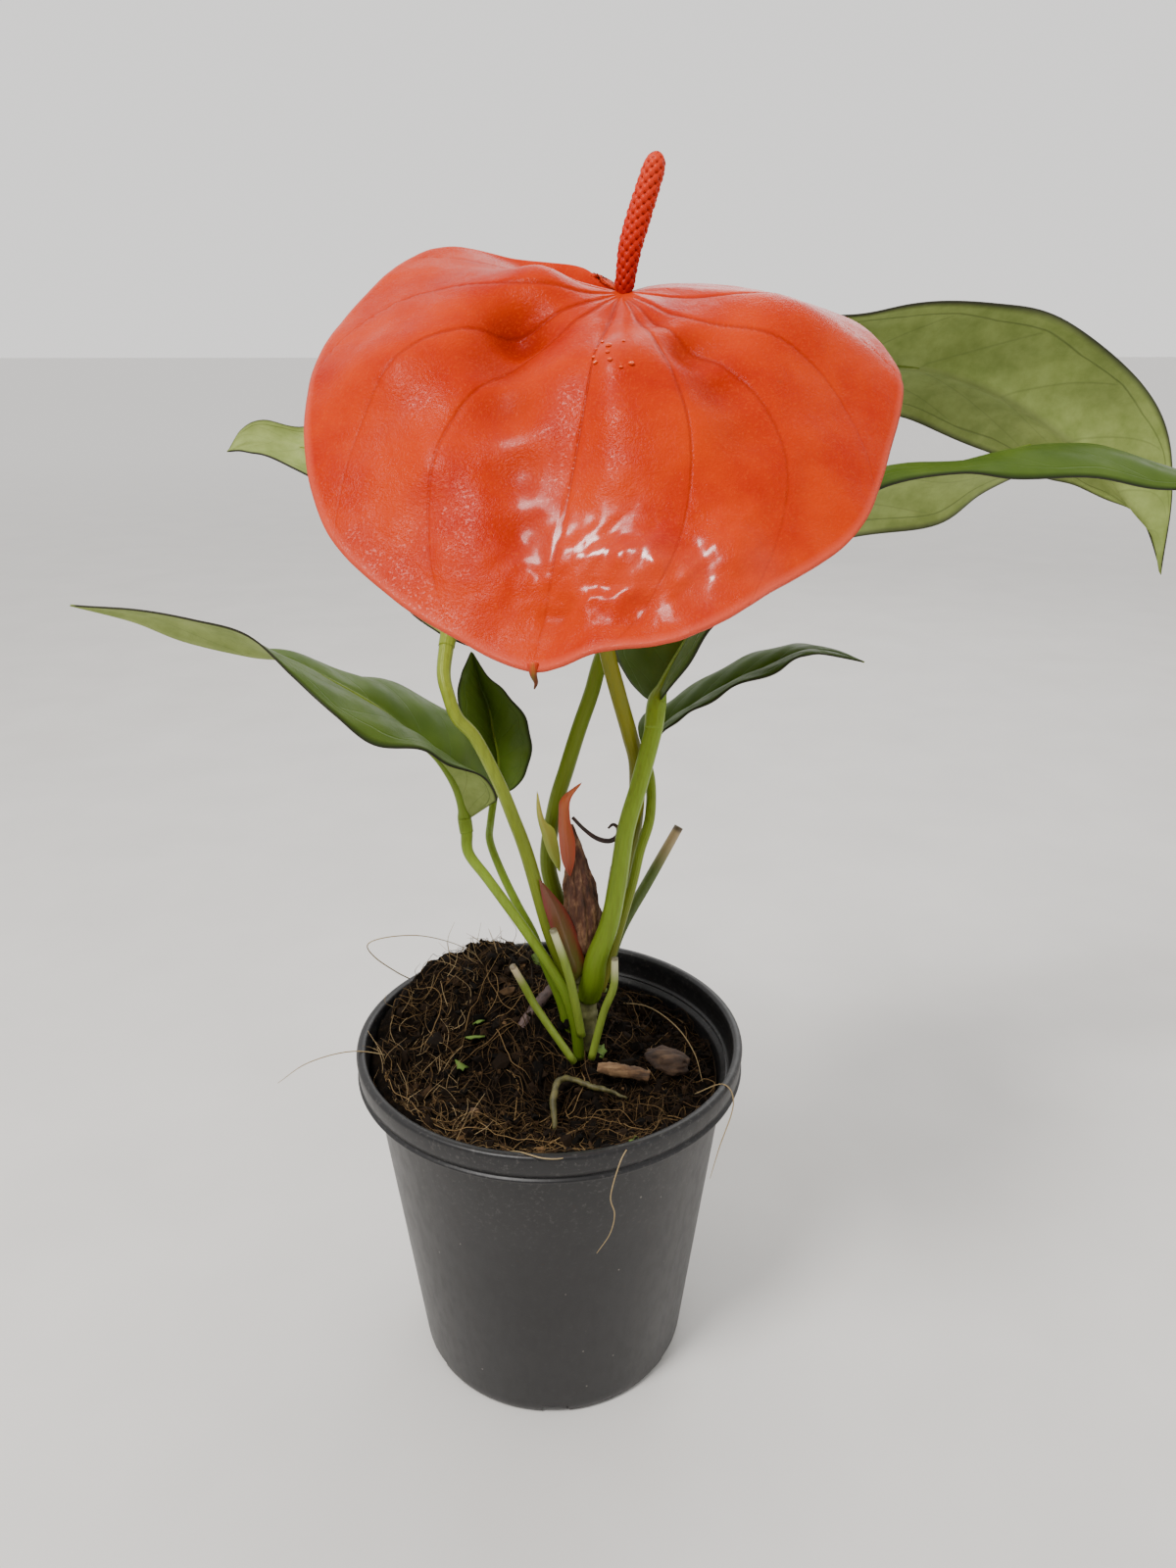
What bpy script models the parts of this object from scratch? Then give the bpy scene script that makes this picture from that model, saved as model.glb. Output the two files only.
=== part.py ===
"""A potted anthurium: a tapered nursery pot, peat and coir, leaves, stems and one heart-shaped spathe.

Everything is laid out in millimetres and built in metres. +X is to the right, +Y to the back and +Z up.
The origin is the centre of the pot's flat underside, on the surface that the pot stands on.
"""

import math

import bmesh
import bpy
from mathutils import Matrix, Vector

MM = 0.001
GAP = 0.35  # clearance between pieces that touch on the real plant

# The pot, a 100 mm nursery pot
RIM_RADIUS = 50.0
POT_HEIGHT = 93.0
RIM_BAND = 7.3
NECK_RADIUS = 45.9
BASE_RADIUS = 35.8
WALL = 1.4
FLOOR = 1.8
BAND_LOW = POT_HEIGHT - RIM_BAND  # underside of the rim band
INNER_RADIUS = NECK_RADIUS - WALL  # inner wall, where it meets the ledge below the rim
INNER_TOP = BAND_LOW - 1.2
INNER_FOOT_RADIUS = BASE_RADIUS - WALL + 0.3
INNER_FOOT = FLOOR + 1.5
POT_SIDES = 48
DRAIN_SLOTS = 6
DRAIN_WIDTH = 7.0
DRAIN_HEIGHT = 2.6
DRAIN_DEPTH = 9.0

# The growing medium: a bed with a heap behind the stems, a swell round them and a hollow in front
BED_HEIGHT = 82.0
SOIL_BUMPS = [(-16, 26, 20, 17), (6, 4, 7, 12), (3, -19, -4, 9)]  # x, y, height, spread
SOIL_RINGS = 10
SOIL_SIDES = 36
SOIL_SHOULDER = BED_HEIGHT - 2
SOIL_FOOT = FLOOR + 4
SOIL_FOOT_BEVEL = 3.0
ROOT_DEPTH = 3.5
SOCKET_HEIGHT = 30.0
SOCKET_SIDES = 12

# The crown, which carries the thick stems
CROWN_X = 9.5
CROWN_Y = 4.5
CROWN_TOP = 108.0
CROWN_RADIUS = 8.2
CROWN_NECK_RADIUS = 2.8
CROWN_NECK_TOP = 100.0

LEAF_THICKNESS = 0.8
SPATHE_THICKNESS = 0.9
ROUTE_STEPS = 2  # points between two control points of a stem
LEAF_STEPS = 2  # rows between two control rows of a blade

GREEN = (0.16, 0.32, 0.05)
YELLOW_GREEN = (0.32, 0.38, 0.05)
OLIVE = (0.18, 0.24, 0.05)
DARK_GREEN = (0.03, 0.10, 0.03)
BROWN = (0.09, 0.045, 0.02)
PALE_GREEN = (0.45, 0.55, 0.18)
CROWN_GREEN = (0.16, 0.17, 0.05)
SCRAP_GREEN = (0.05, 0.16, 0.03)
PEAT = (0.035, 0.022, 0.014)
BARK = (0.11, 0.06, 0.03)
PEBBLE_TAN = (0.3, 0.2, 0.12)
POT_CHARCOAL = (0.045, 0.045, 0.048)

# Stems from foot to blade: (name, foot, radius at foot, radius at top, colour, points)
PETIOLES = [
    ("petiole_left_long", "soil", 1.3, 1.2, GREEN, [
        (7, -4.5, 90), (6.5, -4.5, 98), (4, -4, 107), (0, -3, 115), (-5, -2, 123),
        (-9, -1, 129), (-15, 0, 138), (-19.5, 2, 144), (-20, 5, 149.5)]),
    ("petiole_left_small", "soil", 1.2, 1.0, GREEN, [
        (3, 7, 92), (2, 7, 100), (-1, 7, 109), (-4, 8, 118), (-8, 9, 126), (-12, 12, 134),
        (-15, 18, 140), (-15, 24, 143), (-14, 29, 148.6)]),
    ("petiole_left_back", "crown", 2.1, 1.9, YELLOW_GREEN, [
        (4.6, 0.6, 108.4), (3, -0.5, 115), (0, -2, 125), (-5, -4, 146), (-8, -7, 157), (-11, -10, 167),
        (-16, -10, 178), (-20, -10, 183), (-22, -8, 188), (-23, -5, 192), (-22, 0.5, 196.5)]),
    ("petiole_right_upper", "crown", 2.0, 1.8, OLIVE, [
        (5, 9, 108.4), (3, 9, 124), (0, 9, 138), (2, 9, 153), (5, 8, 164), (8, 8, 174), (11, 8, 183),
        (14, 9, 193), (22, 14, 210), (34, 22, 231), (46, 27, 246), (53, 29.5, 252)]),
    ("petiole_right_lower", "crown", 2.6, 2.2, GREEN, [
        (11.5, -0.8, 108.4), (12, -3, 117), (15, -3, 126), (17, -3, 137), (19, -3, 152), (22, -2, 163),
        (25.5, 1, 176), (26, 3.3, 179.5)]),
    ("petiole_right_small", "crown", 1.3, 1.1, YELLOW_GREEN, [
        (15.3, 3.6, 108.4), (16.5, 4, 116), (21, 4, 133), (23, 4, 143), (25.5, 6, 151), (26, 11, 159),
        (24.5, 15, 163)]),
    ("peduncle", "crown", 2.0, 1.8, OLIVE, [
        (12.5, 9.2, 108.4), (17, 11, 121), (20, 10, 137), (22, 8, 150), (22, 5, 165), (20, 3, 174),
        (17, 0, 185), (14, -3, 197), (12, -6, 211), (12, -10, 233), (13, -15, 253), (15.5, -21, 269.5)]),
]

# Cut-off stubs of old stems, all rooted in the medium: (radius, points)
STUBS = [
    (1.5, [(16, 17.5, 94), (19, 18, 113), (27, 21, 127), (36, 24, 142)]),
    (1.0, [(13.5, 14.5, 94), (15, 14.5, 119), (17, 14, 134)]),
    (1.2, [(7.5, -8, 90), (6, -7.5, 109), (4, -8, 118), (1, -8.5, 129)]),
    (1.1, [(4, -10.2, 89), (-3, -8, 105), (-6, -9, 112), (-9, -11, 120)]),
    (1.1, [(10.5, -7.5, 89), (13.5, -7, 103), (16, -7.5, 111), (16, -7, 119)]),
]

# Blades, base to tip. The first and last entries are points; the rows between are one edge, midrib, other edge.
BLADES = {
    "blade_left_long": [
        (-20, 6, 151),
        [(-14, 4, 156), (-21, 5, 155), (-14, 12, 155)],
        [(-12, 2, 159), (-22, 4, 160), (-13, 16, 158)],
        [(-15, -1, 165), (-24, 3, 165), (-15, 17, 163)],
        [(-22, -7, 171), (-27, 2, 170), (-18, 18, 169)],
        [(-28, -13, 176), (-32, 2, 175), (-25, 20, 176)],
        [(-37, -20, 181), (-40, 0, 183), (-37, 20, 182)],
        [(-46, -20, 187), (-48, -2, 189), (-49, 15, 186)],
        [(-54, -16, 195), (-57, -4, 195), (-59, 6, 194)],
        [(-64, -13, 203), (-66, -6, 197), (-68, 0, 197)],
        [(-75, -13, 207), (-79, -8, 201), (-80, -3, 202)],
        [(-87, -13, 209), (-89, -10, 206), (-90, -7, 206)],
        (-101, -12, 210)],
    "blade_left_small": [
        (-14, 30, 151),
        [(-16, 28, 151), (-13, 32, 153), (-10, 28, 150)],
        [(-18, 26, 156), (-13, 33, 159), (-6, 26, 155)],
        [(-20, 25, 164), (-14, 34, 164), (-4, 26, 162)],
        [(-22, 25, 172), (-15, 35, 171), (-5, 26, 170)],
        [(-22, 27, 180), (-17, 35, 177), (-10, 28, 177)],
        [(-21, 30, 183), (-18, 34, 182), (-15, 31, 181)],
        (-19, 33, 187)],
    "blade_left_back": [
        (-22, 2, 198),
        [(-16, 6, 196), (-23, 6, 200), (-27, 6, 200)],
        [(-18, 20, 204), (-28, 12, 207), (-32, 8, 204)],
        [(-26, 34, 218), (-35, 20, 216), (-36, 12, 209)],
        [(-38, 42, 234), (-43, 28, 227), (-43, 16, 219)],
        [(-49, 44, 243), (-53, 34, 236), (-51, 24, 228)],
        [(-60, 42, 242), (-61, 38, 238), (-59, 30, 233)],
        [(-68, 40, 244), (-67, 37, 239), (-67, 32, 236)],
        [(-73, 37, 242), (-72, 35, 239), (-72, 33, 237)],
        (-76, 33, 237)],
    "blade_right_upper": [
        (54, 30, 253),
        [(51, 28, 261), (59, 33, 254), (54, 38, 247)],
        [(57, 30, 267), (68, 38, 255), (62, 46, 240)],
        [(71, 32, 268), (81, 42, 256), (78, 54, 242)],
        [(88, 34, 270), (98, 46, 255), (96, 58, 243)],
        [(107, 36, 271), (117, 48, 249), (118, 60, 234)],
        [(126, 38, 267), (133, 50, 240), (135, 60, 228)],
        [(144, 41, 257), (148, 51, 230), (146, 58, 224)],
        [(158, 44, 244), (157, 50, 220), (155, 54, 221)],
        [(165, 46, 226), (163, 48, 213), (161, 50, 216)],
        (166, 46, 203)],
    "blade_right_lower": [
        (26.3, 4.4, 181.2),
        [(28, 0, 185), (28, 6, 185), (23, 10, 182)],
        [(32, -4, 193), (31, 8, 190), (20, 16, 185)],
        [(38, -6, 202), (35, 10, 196), (17, 24, 193)],
        [(47, -4, 210), (44, 14, 207), (26, 32, 203)],
        [(61, 0, 220), (60, 18, 221), (52, 38, 211)],
        [(75, 4, 232), (79, 22, 232), (79, 40, 214)],
        [(93, 4, 234), (99, 24, 234), (99, 38, 218)],
        [(107, 4, 234), (116, 22, 239), (112, 37, 226)],
        [(124, 6, 233), (132, 22, 239), (131, 35, 234)],
        [(140, 8, 231), (146, 20, 235), (148, 31, 231)],
        [(157, 12, 229), (161, 20, 230), (163, 27, 228)],
        (175, 20, 223)],
    "blade_right_small": [
        (24.5, 16, 164.5),
        [(23.5, 22, 170), (27, 17, 168), (27, 10, 170)],
        [(26, 26, 172), (30, 18, 171), (31, 9, 175)],
        [(34, 28, 176), (37, 18, 176), (37, 8, 179)],
        [(45, 29, 183), (47, 18, 182), (45, 8, 184)],
        [(56, 28, 188), (57, 18, 187), (56, 9, 188)],
        [(64, 26, 190), (64, 18, 190), (63, 12, 191)],
        [(72, 21, 190), (71, 18, 190), (70, 15, 190)],
        (79, 16, 188)],
}
BLADE_COLOURS = {
    "blade_left_long": DARK_GREEN,
    "blade_left_small": DARK_GREEN,
    "blade_left_back": DARK_GREEN,
    "blade_right_upper": OLIVE,
    "blade_right_lower": DARK_GREEN,
    "blade_right_small": DARK_GREEN,
}

# The spathe fans out from its base. Round its rim from one side of the notch to the other:
# x, y, z of the rim, how far the blade swells above the straight line from base to rim, and how far it flares
SPATHE_BASE = (16, -22, 271)
SPATHE_SWELL = Vector((0, -0.6, 0.8))
SPATHE_RIM = [
    (14, -20, 272, 0, 0),
    (8, -10, 276, 0, 0),
    (-5, -2, 278, -2, 0),
    (-19, -4, 280, -1, 0),
    (-30, -16, 274, 3, 0),
    (-40, -30, 262, 7, 0),
    (-42, -46, 248, 10, 1),
    (-37, -60, 233, 12, 3),
    (-26, -70, 224, 13, 4),
    (-14, -77, 218, 14, 5),
    (-2, -82, 214, 14, 6),
    (9, -84, 218, 14, 6),
    (22, -85, 220, 14, 6),
    (36, -80, 226, 13, 5),
    (52, -68, 233, 11, 3),
    (61, -52, 244, 9, 1),
    (66, -38, 256, 7, 0),
    (62, -24, 265, 4, 0),
    (48, -12, 271, 2, 0),
    (36, -6, 273, 1, 0),
    (24, -12, 271, 0, 0),
    (17.5, -20, 271, 0, 0),
]
SPATHE_RINGS = 8
SPADIX = [(16, -22, 271.7), (16.2, -22, 274), (17, -21.5, 279), (18.5, -20.5, 284), (20, -20, 288.5), (21.5, -19.5, 293),
          (22, -19.5, 295)]
SPADIX_RADII = [0.8, 1.9, 2.4, 2.5, 2.4, 2.0, 0.9]

# Sheaths, buds and scraps as tapered tubes: (name, colour, points, radii)
TAPERED = [
    ("papery_sheath", BROWN,
     [(9, 4.6, 108.4), (8.8, 4.4, 116), (8.4, 3.9, 125), (7.2, 3.7, 134), (6.3, 3.5, 142), (5.4, 2.6, 151)],
     [2.6, 3.9, 4.2, 4.1, 3.0, 0.5]),
    ("red_edged_sheath", (0.22, 0.10, 0.05),
     [(7.9, -2.6, 108.7), (6.2, -3.7, 115), (4.2, -3.9, 124), (0.8, -4.6, 139)], [0.6, 1.2, 1.1, 0.3]),
    ("new_shoot", (0.75, 0.14, 0.03),
     [(5.2, -1.6, 139), (4.7, -1.7, 146), (4.2, -1.4, 154), (5, -1.2, 160), (8, -1, 164)],
     [0.5, 1.6, 1.2, 0.7, 0.3]),
    ("green_bract", PALE_GREEN,
     [(1.6, 3.2, 139.5), (-0.3, 4, 147), (-2, 4, 153), (-2.2, 4, 158)], [0.5, 1.2, 0.8, 0.3]),
    ("dry_tendril", (0.03, 0.015, 0.01),
     [(6.5, 2.4, 152.6), (9, 2, 150), (12, 1, 148), (15, 0.5, 147.6), (17, 0, 149), (17, 0, 151), (15.6, 0, 151.6),
      (15, 0, 150.6)], [0.4, 0.5, 0.5, 0.5, 0.5, 0.45, 0.4, 0.3]),
]

# Loose bits that lie on the medium: (name, colour, radius, points in plan)
LYING = [
    ("bark_stick", (0.25, 0.13, 0.05), 1.6, [(12, -11), (25, -12)]),
    ("olive_root", (0.16, 0.15, 0.03), 0.9, [(1, -24), (1, -17), (6, -15), (12, -17), (19, -19)]),
    ("brown_root", (0.08, 0.045, 0.035), 1.4, [(-4, 17), (-7, 12), (-9, 6)]),
    ("coir_fibre_left", (0.30, 0.20, 0.09), 0.35, [(-36, 24), (-30, 6), (-20, -12)]),
    ("coir_fibre_front", (0.30, 0.20, 0.09), 0.35, [(-24, -30), (-10, -33), (4, -31)]),
    ("coir_fibre_right", (0.30, 0.20, 0.09), 0.35, [(18, 27), (32, 12), (37, -6), (33, -20)]),
]
CHUNK_CENTRE = (31, -4)
CHUNK_SIZE = (6.5, 4.2, 2.4)
CHUNK_TURN = math.radians(-35)
PEBBLE_CENTRE = (-19, -21)
PEBBLE_SIZE = (1.6, 1.5, 1.4)
SCRAP_CENTRE = (-20, 1)
SCRAP_SIZE = (2.4, 4.6, 0.6)
SCRAP_TURN = math.radians(-20)


def clear_scene():
    for old in list(bpy.data.objects):
        bpy.data.objects.remove(old, do_unlink=True)


def make_material(name, colour, roughness):
    """A Principled material with one colour, which is all that the construction model needs."""
    made = bpy.data.materials.new(name)
    made.use_nodes = True
    shader = made.node_tree.nodes["Principled BSDF"]
    shader.inputs["Base Color"].default_value = (*colour, 1)
    shader.inputs["Roughness"].default_value = roughness
    shader.inputs["Metallic"].default_value = 0.0
    return made


def add_object(name, points, faces, colour, roughness=0.5):
    """A smooth-shaded object from points in millimetres."""
    mesh = bpy.data.meshes.new(name)
    mesh.from_pydata([Vector(p) * MM for p in points], [], faces)
    mesh.shade_smooth()
    mesh.set_sharp_from_angle(angle=math.radians(40))
    made = bpy.data.objects.new(name, mesh)
    made.data.materials.append(make_material(name, colour, roughness))
    bpy.context.scene.collection.objects.link(made)
    return made


def face_outwards(made):
    """Turn every face of a closed mesh outwards."""
    work = bmesh.new()
    work.from_mesh(made.data)
    bmesh.ops.recalc_face_normals(work, faces=work.faces)
    work.to_mesh(made.data)
    work.free()


def curve_point(points, at):
    """The point at parameter at (0 to len - 1) on a Catmull-Rom curve through points."""
    last = len(points) - 1
    index = min(int(at), last - 1)
    part = at - index
    b = Vector(points[index])
    c = Vector(points[index + 1])
    a = Vector(points[index - 1]) if index > 0 else b * 2 - c
    d = Vector(points[index + 2]) if index + 2 <= last else c * 2 - b
    return 0.5 * (
        2 * b
        + (c - a) * part
        + (2 * a - 5 * b + 4 * c - d) * part**2
        + (3 * b - a - 3 * c + d) * part**3
    )


def smooth_route(points, steps):
    count = (len(points) - 1) * steps
    return [curve_point(points, i / steps) for i in range(count + 1)]


def tube(name, route, radii, colour, sides=8, roughness=0.45):
    """A closed tube along a route, with its own radius at each point and flat ends."""
    points = []
    across = Vector((1, 0, 0))
    for i, centre in enumerate(route):
        ahead = route[min(i + 1, len(route) - 1)] - route[max(i - 1, 0)]
        ahead.normalize()
        across = (across - ahead * across.dot(ahead)).normalized()
        other = ahead.cross(across)
        for k in range(sides):
            turn = math.tau * k / sides
            points.append(centre + (across * math.cos(turn) + other * math.sin(turn)) * radii[i])
    faces = []
    for i in range(len(route) - 1):
        for k in range(sides):
            right = (k + 1) % sides
            faces.append((i * sides + k, i * sides + right, (i + 1) * sides + right, (i + 1) * sides + k))
    faces.append(tuple(reversed(range(sides))))
    faces.append(tuple(range(len(points) - sides, len(points))))
    return add_object(name, points, faces, colour, roughness)


def turned(name, profile, sides, centre, colour, roughness):
    """A solid turned about a vertical axis. The profile runs from the axis to the axis, anticlockwise."""
    points = [(centre[0], centre[1], profile[0][1])]
    for radius, height in profile[1:-1]:
        for k in range(sides):
            turn = math.tau * k / sides
            points.append((centre[0] + radius * math.cos(turn), centre[1] + radius * math.sin(turn), height))
    points.append((centre[0], centre[1], profile[-1][1]))
    end = len(points) - 1
    faces = []
    for k in range(sides):
        right = (k + 1) % sides
        faces.append((0, 1 + right, 1 + k))
        for ring in range(len(profile) - 3):
            low = 1 + ring * sides
            high = low + sides
            faces.append((low + k, low + right, high + right, high + k))
        faces.append((end - sides + k, end - sides + right, end))
    return add_object(name, points, faces, colour, roughness)


def cutter(name, made, tool):
    """Cut one object with another, which stays as a hidden guide."""
    tool.hide_render = True
    tool.display_type = "WIRE"
    cut = made.modifiers.new(name, "BOOLEAN")
    cut.operation = "DIFFERENCE"
    cut.object = tool


def make_pot():
    profile = [
        (0, 0),
        (BASE_RADIUS - 1.2, 0),
        (BASE_RADIUS, 1.2),
        (BASE_RADIUS + 0.5, 4),
        (NECK_RADIUS, BAND_LOW - 1.5),
        (NECK_RADIUS, BAND_LOW),
        (RIM_RADIUS - 0.9, BAND_LOW),
        (RIM_RADIUS - 0.6, BAND_LOW + 0.6),
        (RIM_RADIUS, POT_HEIGHT - 0.9),
        (RIM_RADIUS - 0.6, POT_HEIGHT),
        (RIM_RADIUS - 1.9, POT_HEIGHT),
        (RIM_RADIUS - 2.5, POT_HEIGHT - 0.7),
        (RIM_RADIUS - 3.0, BAND_LOW + 0.8),
        (INNER_RADIUS, INNER_TOP),
        (INNER_FOOT_RADIUS, INNER_FOOT),
        (BASE_RADIUS - WALL - 1, FLOOR),
        (0, FLOOR),
    ]
    pot = turned("pot", profile, POT_SIDES, (0, 0), POT_CHARCOAL, 0.4)
    for number in range(DRAIN_SLOTS):
        turn = math.tau * (number + 0.5) / DRAIN_SLOTS
        bpy.ops.mesh.primitive_cube_add(size=1)
        slot = bpy.context.object
        slot.name = f"drain_guide_{number}"
        size = Vector((DRAIN_DEPTH, DRAIN_WIDTH, 2 * DRAIN_HEIGHT)) * MM
        place = Matrix.Rotation(turn, 4, "Z") @ Matrix.Translation((BASE_RADIUS * MM, 0, 0))
        slot.data.transform(place @ Matrix.Diagonal((*size, 1)))
        cutter(f"slot_{number}", pot, slot)


def soil_height(x, y):
    height = BED_HEIGHT
    for centre_x, centre_y, rise, spread in SOIL_BUMPS:
        away = (x - centre_x) ** 2 + (y - centre_y) ** 2
        height += rise * math.exp(-away / (2 * spread**2))
    return height


def pot_inside(height):
    """The radius of the pot's inner wall below its ledge."""
    share = (height - INNER_FOOT) / (INNER_TOP - INNER_FOOT)
    return INNER_FOOT_RADIUS + (INNER_RADIUS - INNER_FOOT_RADIUS) * min(max(share, 0), 1)


def make_soil(feet):
    """The root ball, with a socket for each stem that goes into it."""
    edge = pot_inside(SOIL_SHOULDER) - GAP
    low_edge = pot_inside(SOIL_FOOT) - 2 * GAP
    points = [(0, 0, soil_height(0, 0))]
    for ring in range(1, SOIL_RINGS + 1):
        radius = edge * ring / SOIL_RINGS
        for k in range(SOIL_SIDES):
            turn = math.tau * k / SOIL_SIDES
            x = radius * math.cos(turn)
            y = radius * math.sin(turn)
            points.append((x, y, soil_height(x, y)))
    underside = FLOOR + GAP
    for radius, height in ((edge, SOIL_SHOULDER), (low_edge, SOIL_FOOT), (low_edge - SOIL_FOOT_BEVEL, underside)):
        for k in range(SOIL_SIDES):
            turn = math.tau * k / SOIL_SIDES
            points.append((radius * math.cos(turn), radius * math.sin(turn), height))
    points.append((0, 0, underside))
    end = len(points) - 1
    faces = []
    for k in range(SOIL_SIDES):
        right = (k + 1) % SOIL_SIDES
        faces.append((0, 1 + k, 1 + right))
        for ring in range(SOIL_RINGS + 2):
            low = 1 + ring * SOIL_SIDES
            high = low + SOIL_SIDES
            faces.append((low + k, high + k, high + right, low + right))
        faces.append((end - SOIL_SIDES + k, end, end - SOIL_SIDES + right))
    soil = add_object("growing_medium", points, faces, PEAT, 0.95)
    for number, (x, y, radius) in enumerate(feet):
        low = soil_height(x, y) - ROOT_DEPTH - GAP
        high = low + SOCKET_HEIGHT
        profile = [(0, low), (radius + GAP, low), (radius + GAP, high), (0, high)]
        socket = turned(f"socket_guide_{number}", profile, SOCKET_SIDES, (x, y), BROWN, 0.9)
        cutter(f"socket_{number}", soil, socket)


def make_crown():
    """The short stem neck and the swollen crown that the thick stems stand on."""
    low = soil_height(CROWN_X, CROWN_Y) - ROOT_DEPTH
    profile = [
        (0, low),
        (CROWN_NECK_RADIUS, low),
        (CROWN_NECK_RADIUS, CROWN_NECK_TOP),
        (CROWN_NECK_RADIUS + 1, CROWN_NECK_TOP + 3),
        (CROWN_RADIUS - 0.6, CROWN_TOP - 1.6),
        (CROWN_RADIUS, CROWN_TOP - 0.8),
        (CROWN_RADIUS - 0.4, CROWN_TOP),
        (0, CROWN_TOP),
    ]
    turned("crown", profile, 24, (CROWN_X, CROWN_Y), CROWN_GREEN, 0.6)


def stem_route(points, foot):
    """A smooth route whose foot goes straight down, into its socket or onto the crown."""
    x, y, _ = points[0]
    route = smooth_route(points, ROUTE_STEPS)
    if foot == "crown":
        low = CROWN_TOP + GAP
        return [Vector((x, y, low)), Vector((x, y, low + 0.8))] + route[1:]
    ground = soil_height(x, y)
    return [Vector((x, y, ground - ROOT_DEPTH)), Vector((x, y, ground + 0.5))] + route[2:]


def make_stems():
    """Every petiole, the peduncle and the stubs. Returns the feet that need a socket."""
    feet = [(CROWN_X, CROWN_Y, CROWN_NECK_RADIUS)]
    for name, foot, low_radius, high_radius, colour, points in PETIOLES:
        if foot == "soil":
            feet.append((points[0][0], points[0][1], low_radius))
        route = stem_route(points, foot)
        count = len(route) - 1
        radii = [low_radius + (high_radius - low_radius) * i / count for i in range(count + 1)]
        tube(name, route, radii, colour)
    for number, (radius, points) in enumerate(STUBS, 1):
        feet.append((points[0][0], points[0][1], radius))
        route = stem_route(points, "soil")
        tube(f"cut_stub_{number}", route, [radius] * len(route), PALE_GREEN, 8)
    return feet


def sheet(name, rows, thickness, colour):
    """A closed sheet from rows of points. The first row may be one point, and so may the last."""
    points = []
    starts = []
    for row in rows:
        starts.append(len(points))
        points.extend(row)
    faces = []
    for i in range(len(rows) - 1):
        a = starts[i]
        b = starts[i + 1]
        if len(rows[i]) == 1:
            faces.extend((a, b + k, b + k + 1) for k in range(len(rows[i + 1]) - 1))
        elif len(rows[i + 1]) == 1:
            faces.extend((a + k, b, a + k + 1) for k in range(len(rows[i]) - 1))
        else:
            faces.extend((a + k, b + k, b + k + 1, a + k + 1) for k in range(len(rows[i]) - 1))
    made = add_object(name, points, faces, colour, 0.4)
    solid = made.modifiers.new("thickness", "SOLIDIFY")
    solid.thickness = thickness * MM
    solid.offset = 0
    return made


def make_blade(name, rows, colour):
    """A leaf blade between its two edges and its midrib."""
    full = [row if isinstance(row, list) else [row] * 3 for row in rows]
    rails = [smooth_route([row[k] for row in full], LEAF_STEPS) for k in range(3)]
    grid = []
    for edge, midrib, other in zip(*rails):
        grid.append([edge, (edge + midrib) / 2, midrib, (midrib + other) / 2, other])
    grid[0] = [rails[1][0]]
    grid[-1] = [rails[1][-1]]
    sheet(name, grid, LEAF_THICKNESS, colour)


def make_spathe():
    """The heart-shaped spathe, a fan of swelling lines from its base to its rim."""
    base = Vector(SPATHE_BASE)
    spokes = smooth_route([row[:3] for row in SPATHE_RIM], LEAF_STEPS)
    shapes = smooth_route([(row[3], row[4], 0) for row in SPATHE_RIM], LEAF_STEPS)
    rows = [[base]]
    for ring in range(1, SPATHE_RINGS + 1):
        out = ring / SPATHE_RINGS
        row = []
        for rim, (swell, flare, _) in zip(spokes, shapes):
            lift = swell * 4 * out * (1 - out) - flare * 9.5 * out**3 * (1 - out)
            row.append(base + (rim - base) * out + SPATHE_SWELL * lift)
        rows.append(row)
    sheet("spathe", rows, SPATHE_THICKNESS, (0.85, 0.10, 0.02))


def eased_radii(radii, steps):
    """Radii along a smooth route, between those given at its control points."""
    points = [(radius, 0, 0) for radius in radii]
    return [max(point.x, 0.2) for point in smooth_route(points, steps)]


def make_tapered_pieces():
    tube("spadix", smooth_route(SPADIX, 3), eased_radii(SPADIX_RADII, 3), (0.8, 0.06, 0.02), 10)
    for name, colour, points, radii in TAPERED:
        tube(name, smooth_route(points, 3), eased_radii(radii, 3), colour, 8, 0.6)


def highest_soil(x, y, reach):
    """The medium's highest point under a round piece."""
    around = [soil_height(x + reach * math.cos(k), y + reach * math.sin(k)) for k in range(7)]
    return max(soil_height(x, y), *around)


def on_soil(x, y, radius):
    """The centre height that keeps a round piece just clear of the medium."""
    return highest_soil(x, y, radius) + radius + GAP


def make_lying_pieces():
    for name, colour, radius, plan in LYING:
        steps = 8 // (len(plan) - 1)
        flat = smooth_route([(x, y, 0) for x, y in plan], steps)
        route = [Vector((p.x, p.y, on_soil(p.x, p.y, radius))) for p in flat]
        if name == "bark_stick":
            top = max(p.z for p in route)
            route = [Vector((p.x, p.y, top)) for p in route]
        tube(name, route, [radius] * len(route), colour, 8, 0.9)


def make_lump(name, centre, size, turn, colour):
    """A small rounded lump that lies on the medium."""
    bpy.ops.mesh.primitive_ico_sphere_add(subdivisions=2, radius=1)
    lump = bpy.context.object
    lump.name = name
    lump.data.name = name
    height = highest_soil(*centre, max(size[0], size[1])) + size[2] + GAP
    place = Matrix.Translation(Vector((*centre, height)) * MM) @ Matrix.Rotation(turn, 4, "Z")
    lump.data.transform(place @ Matrix.Diagonal((*(Vector(size) * MM), 1)))
    lump.data.shade_smooth()
    lump.data.materials.append(make_material(name, colour, 0.9))


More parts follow.
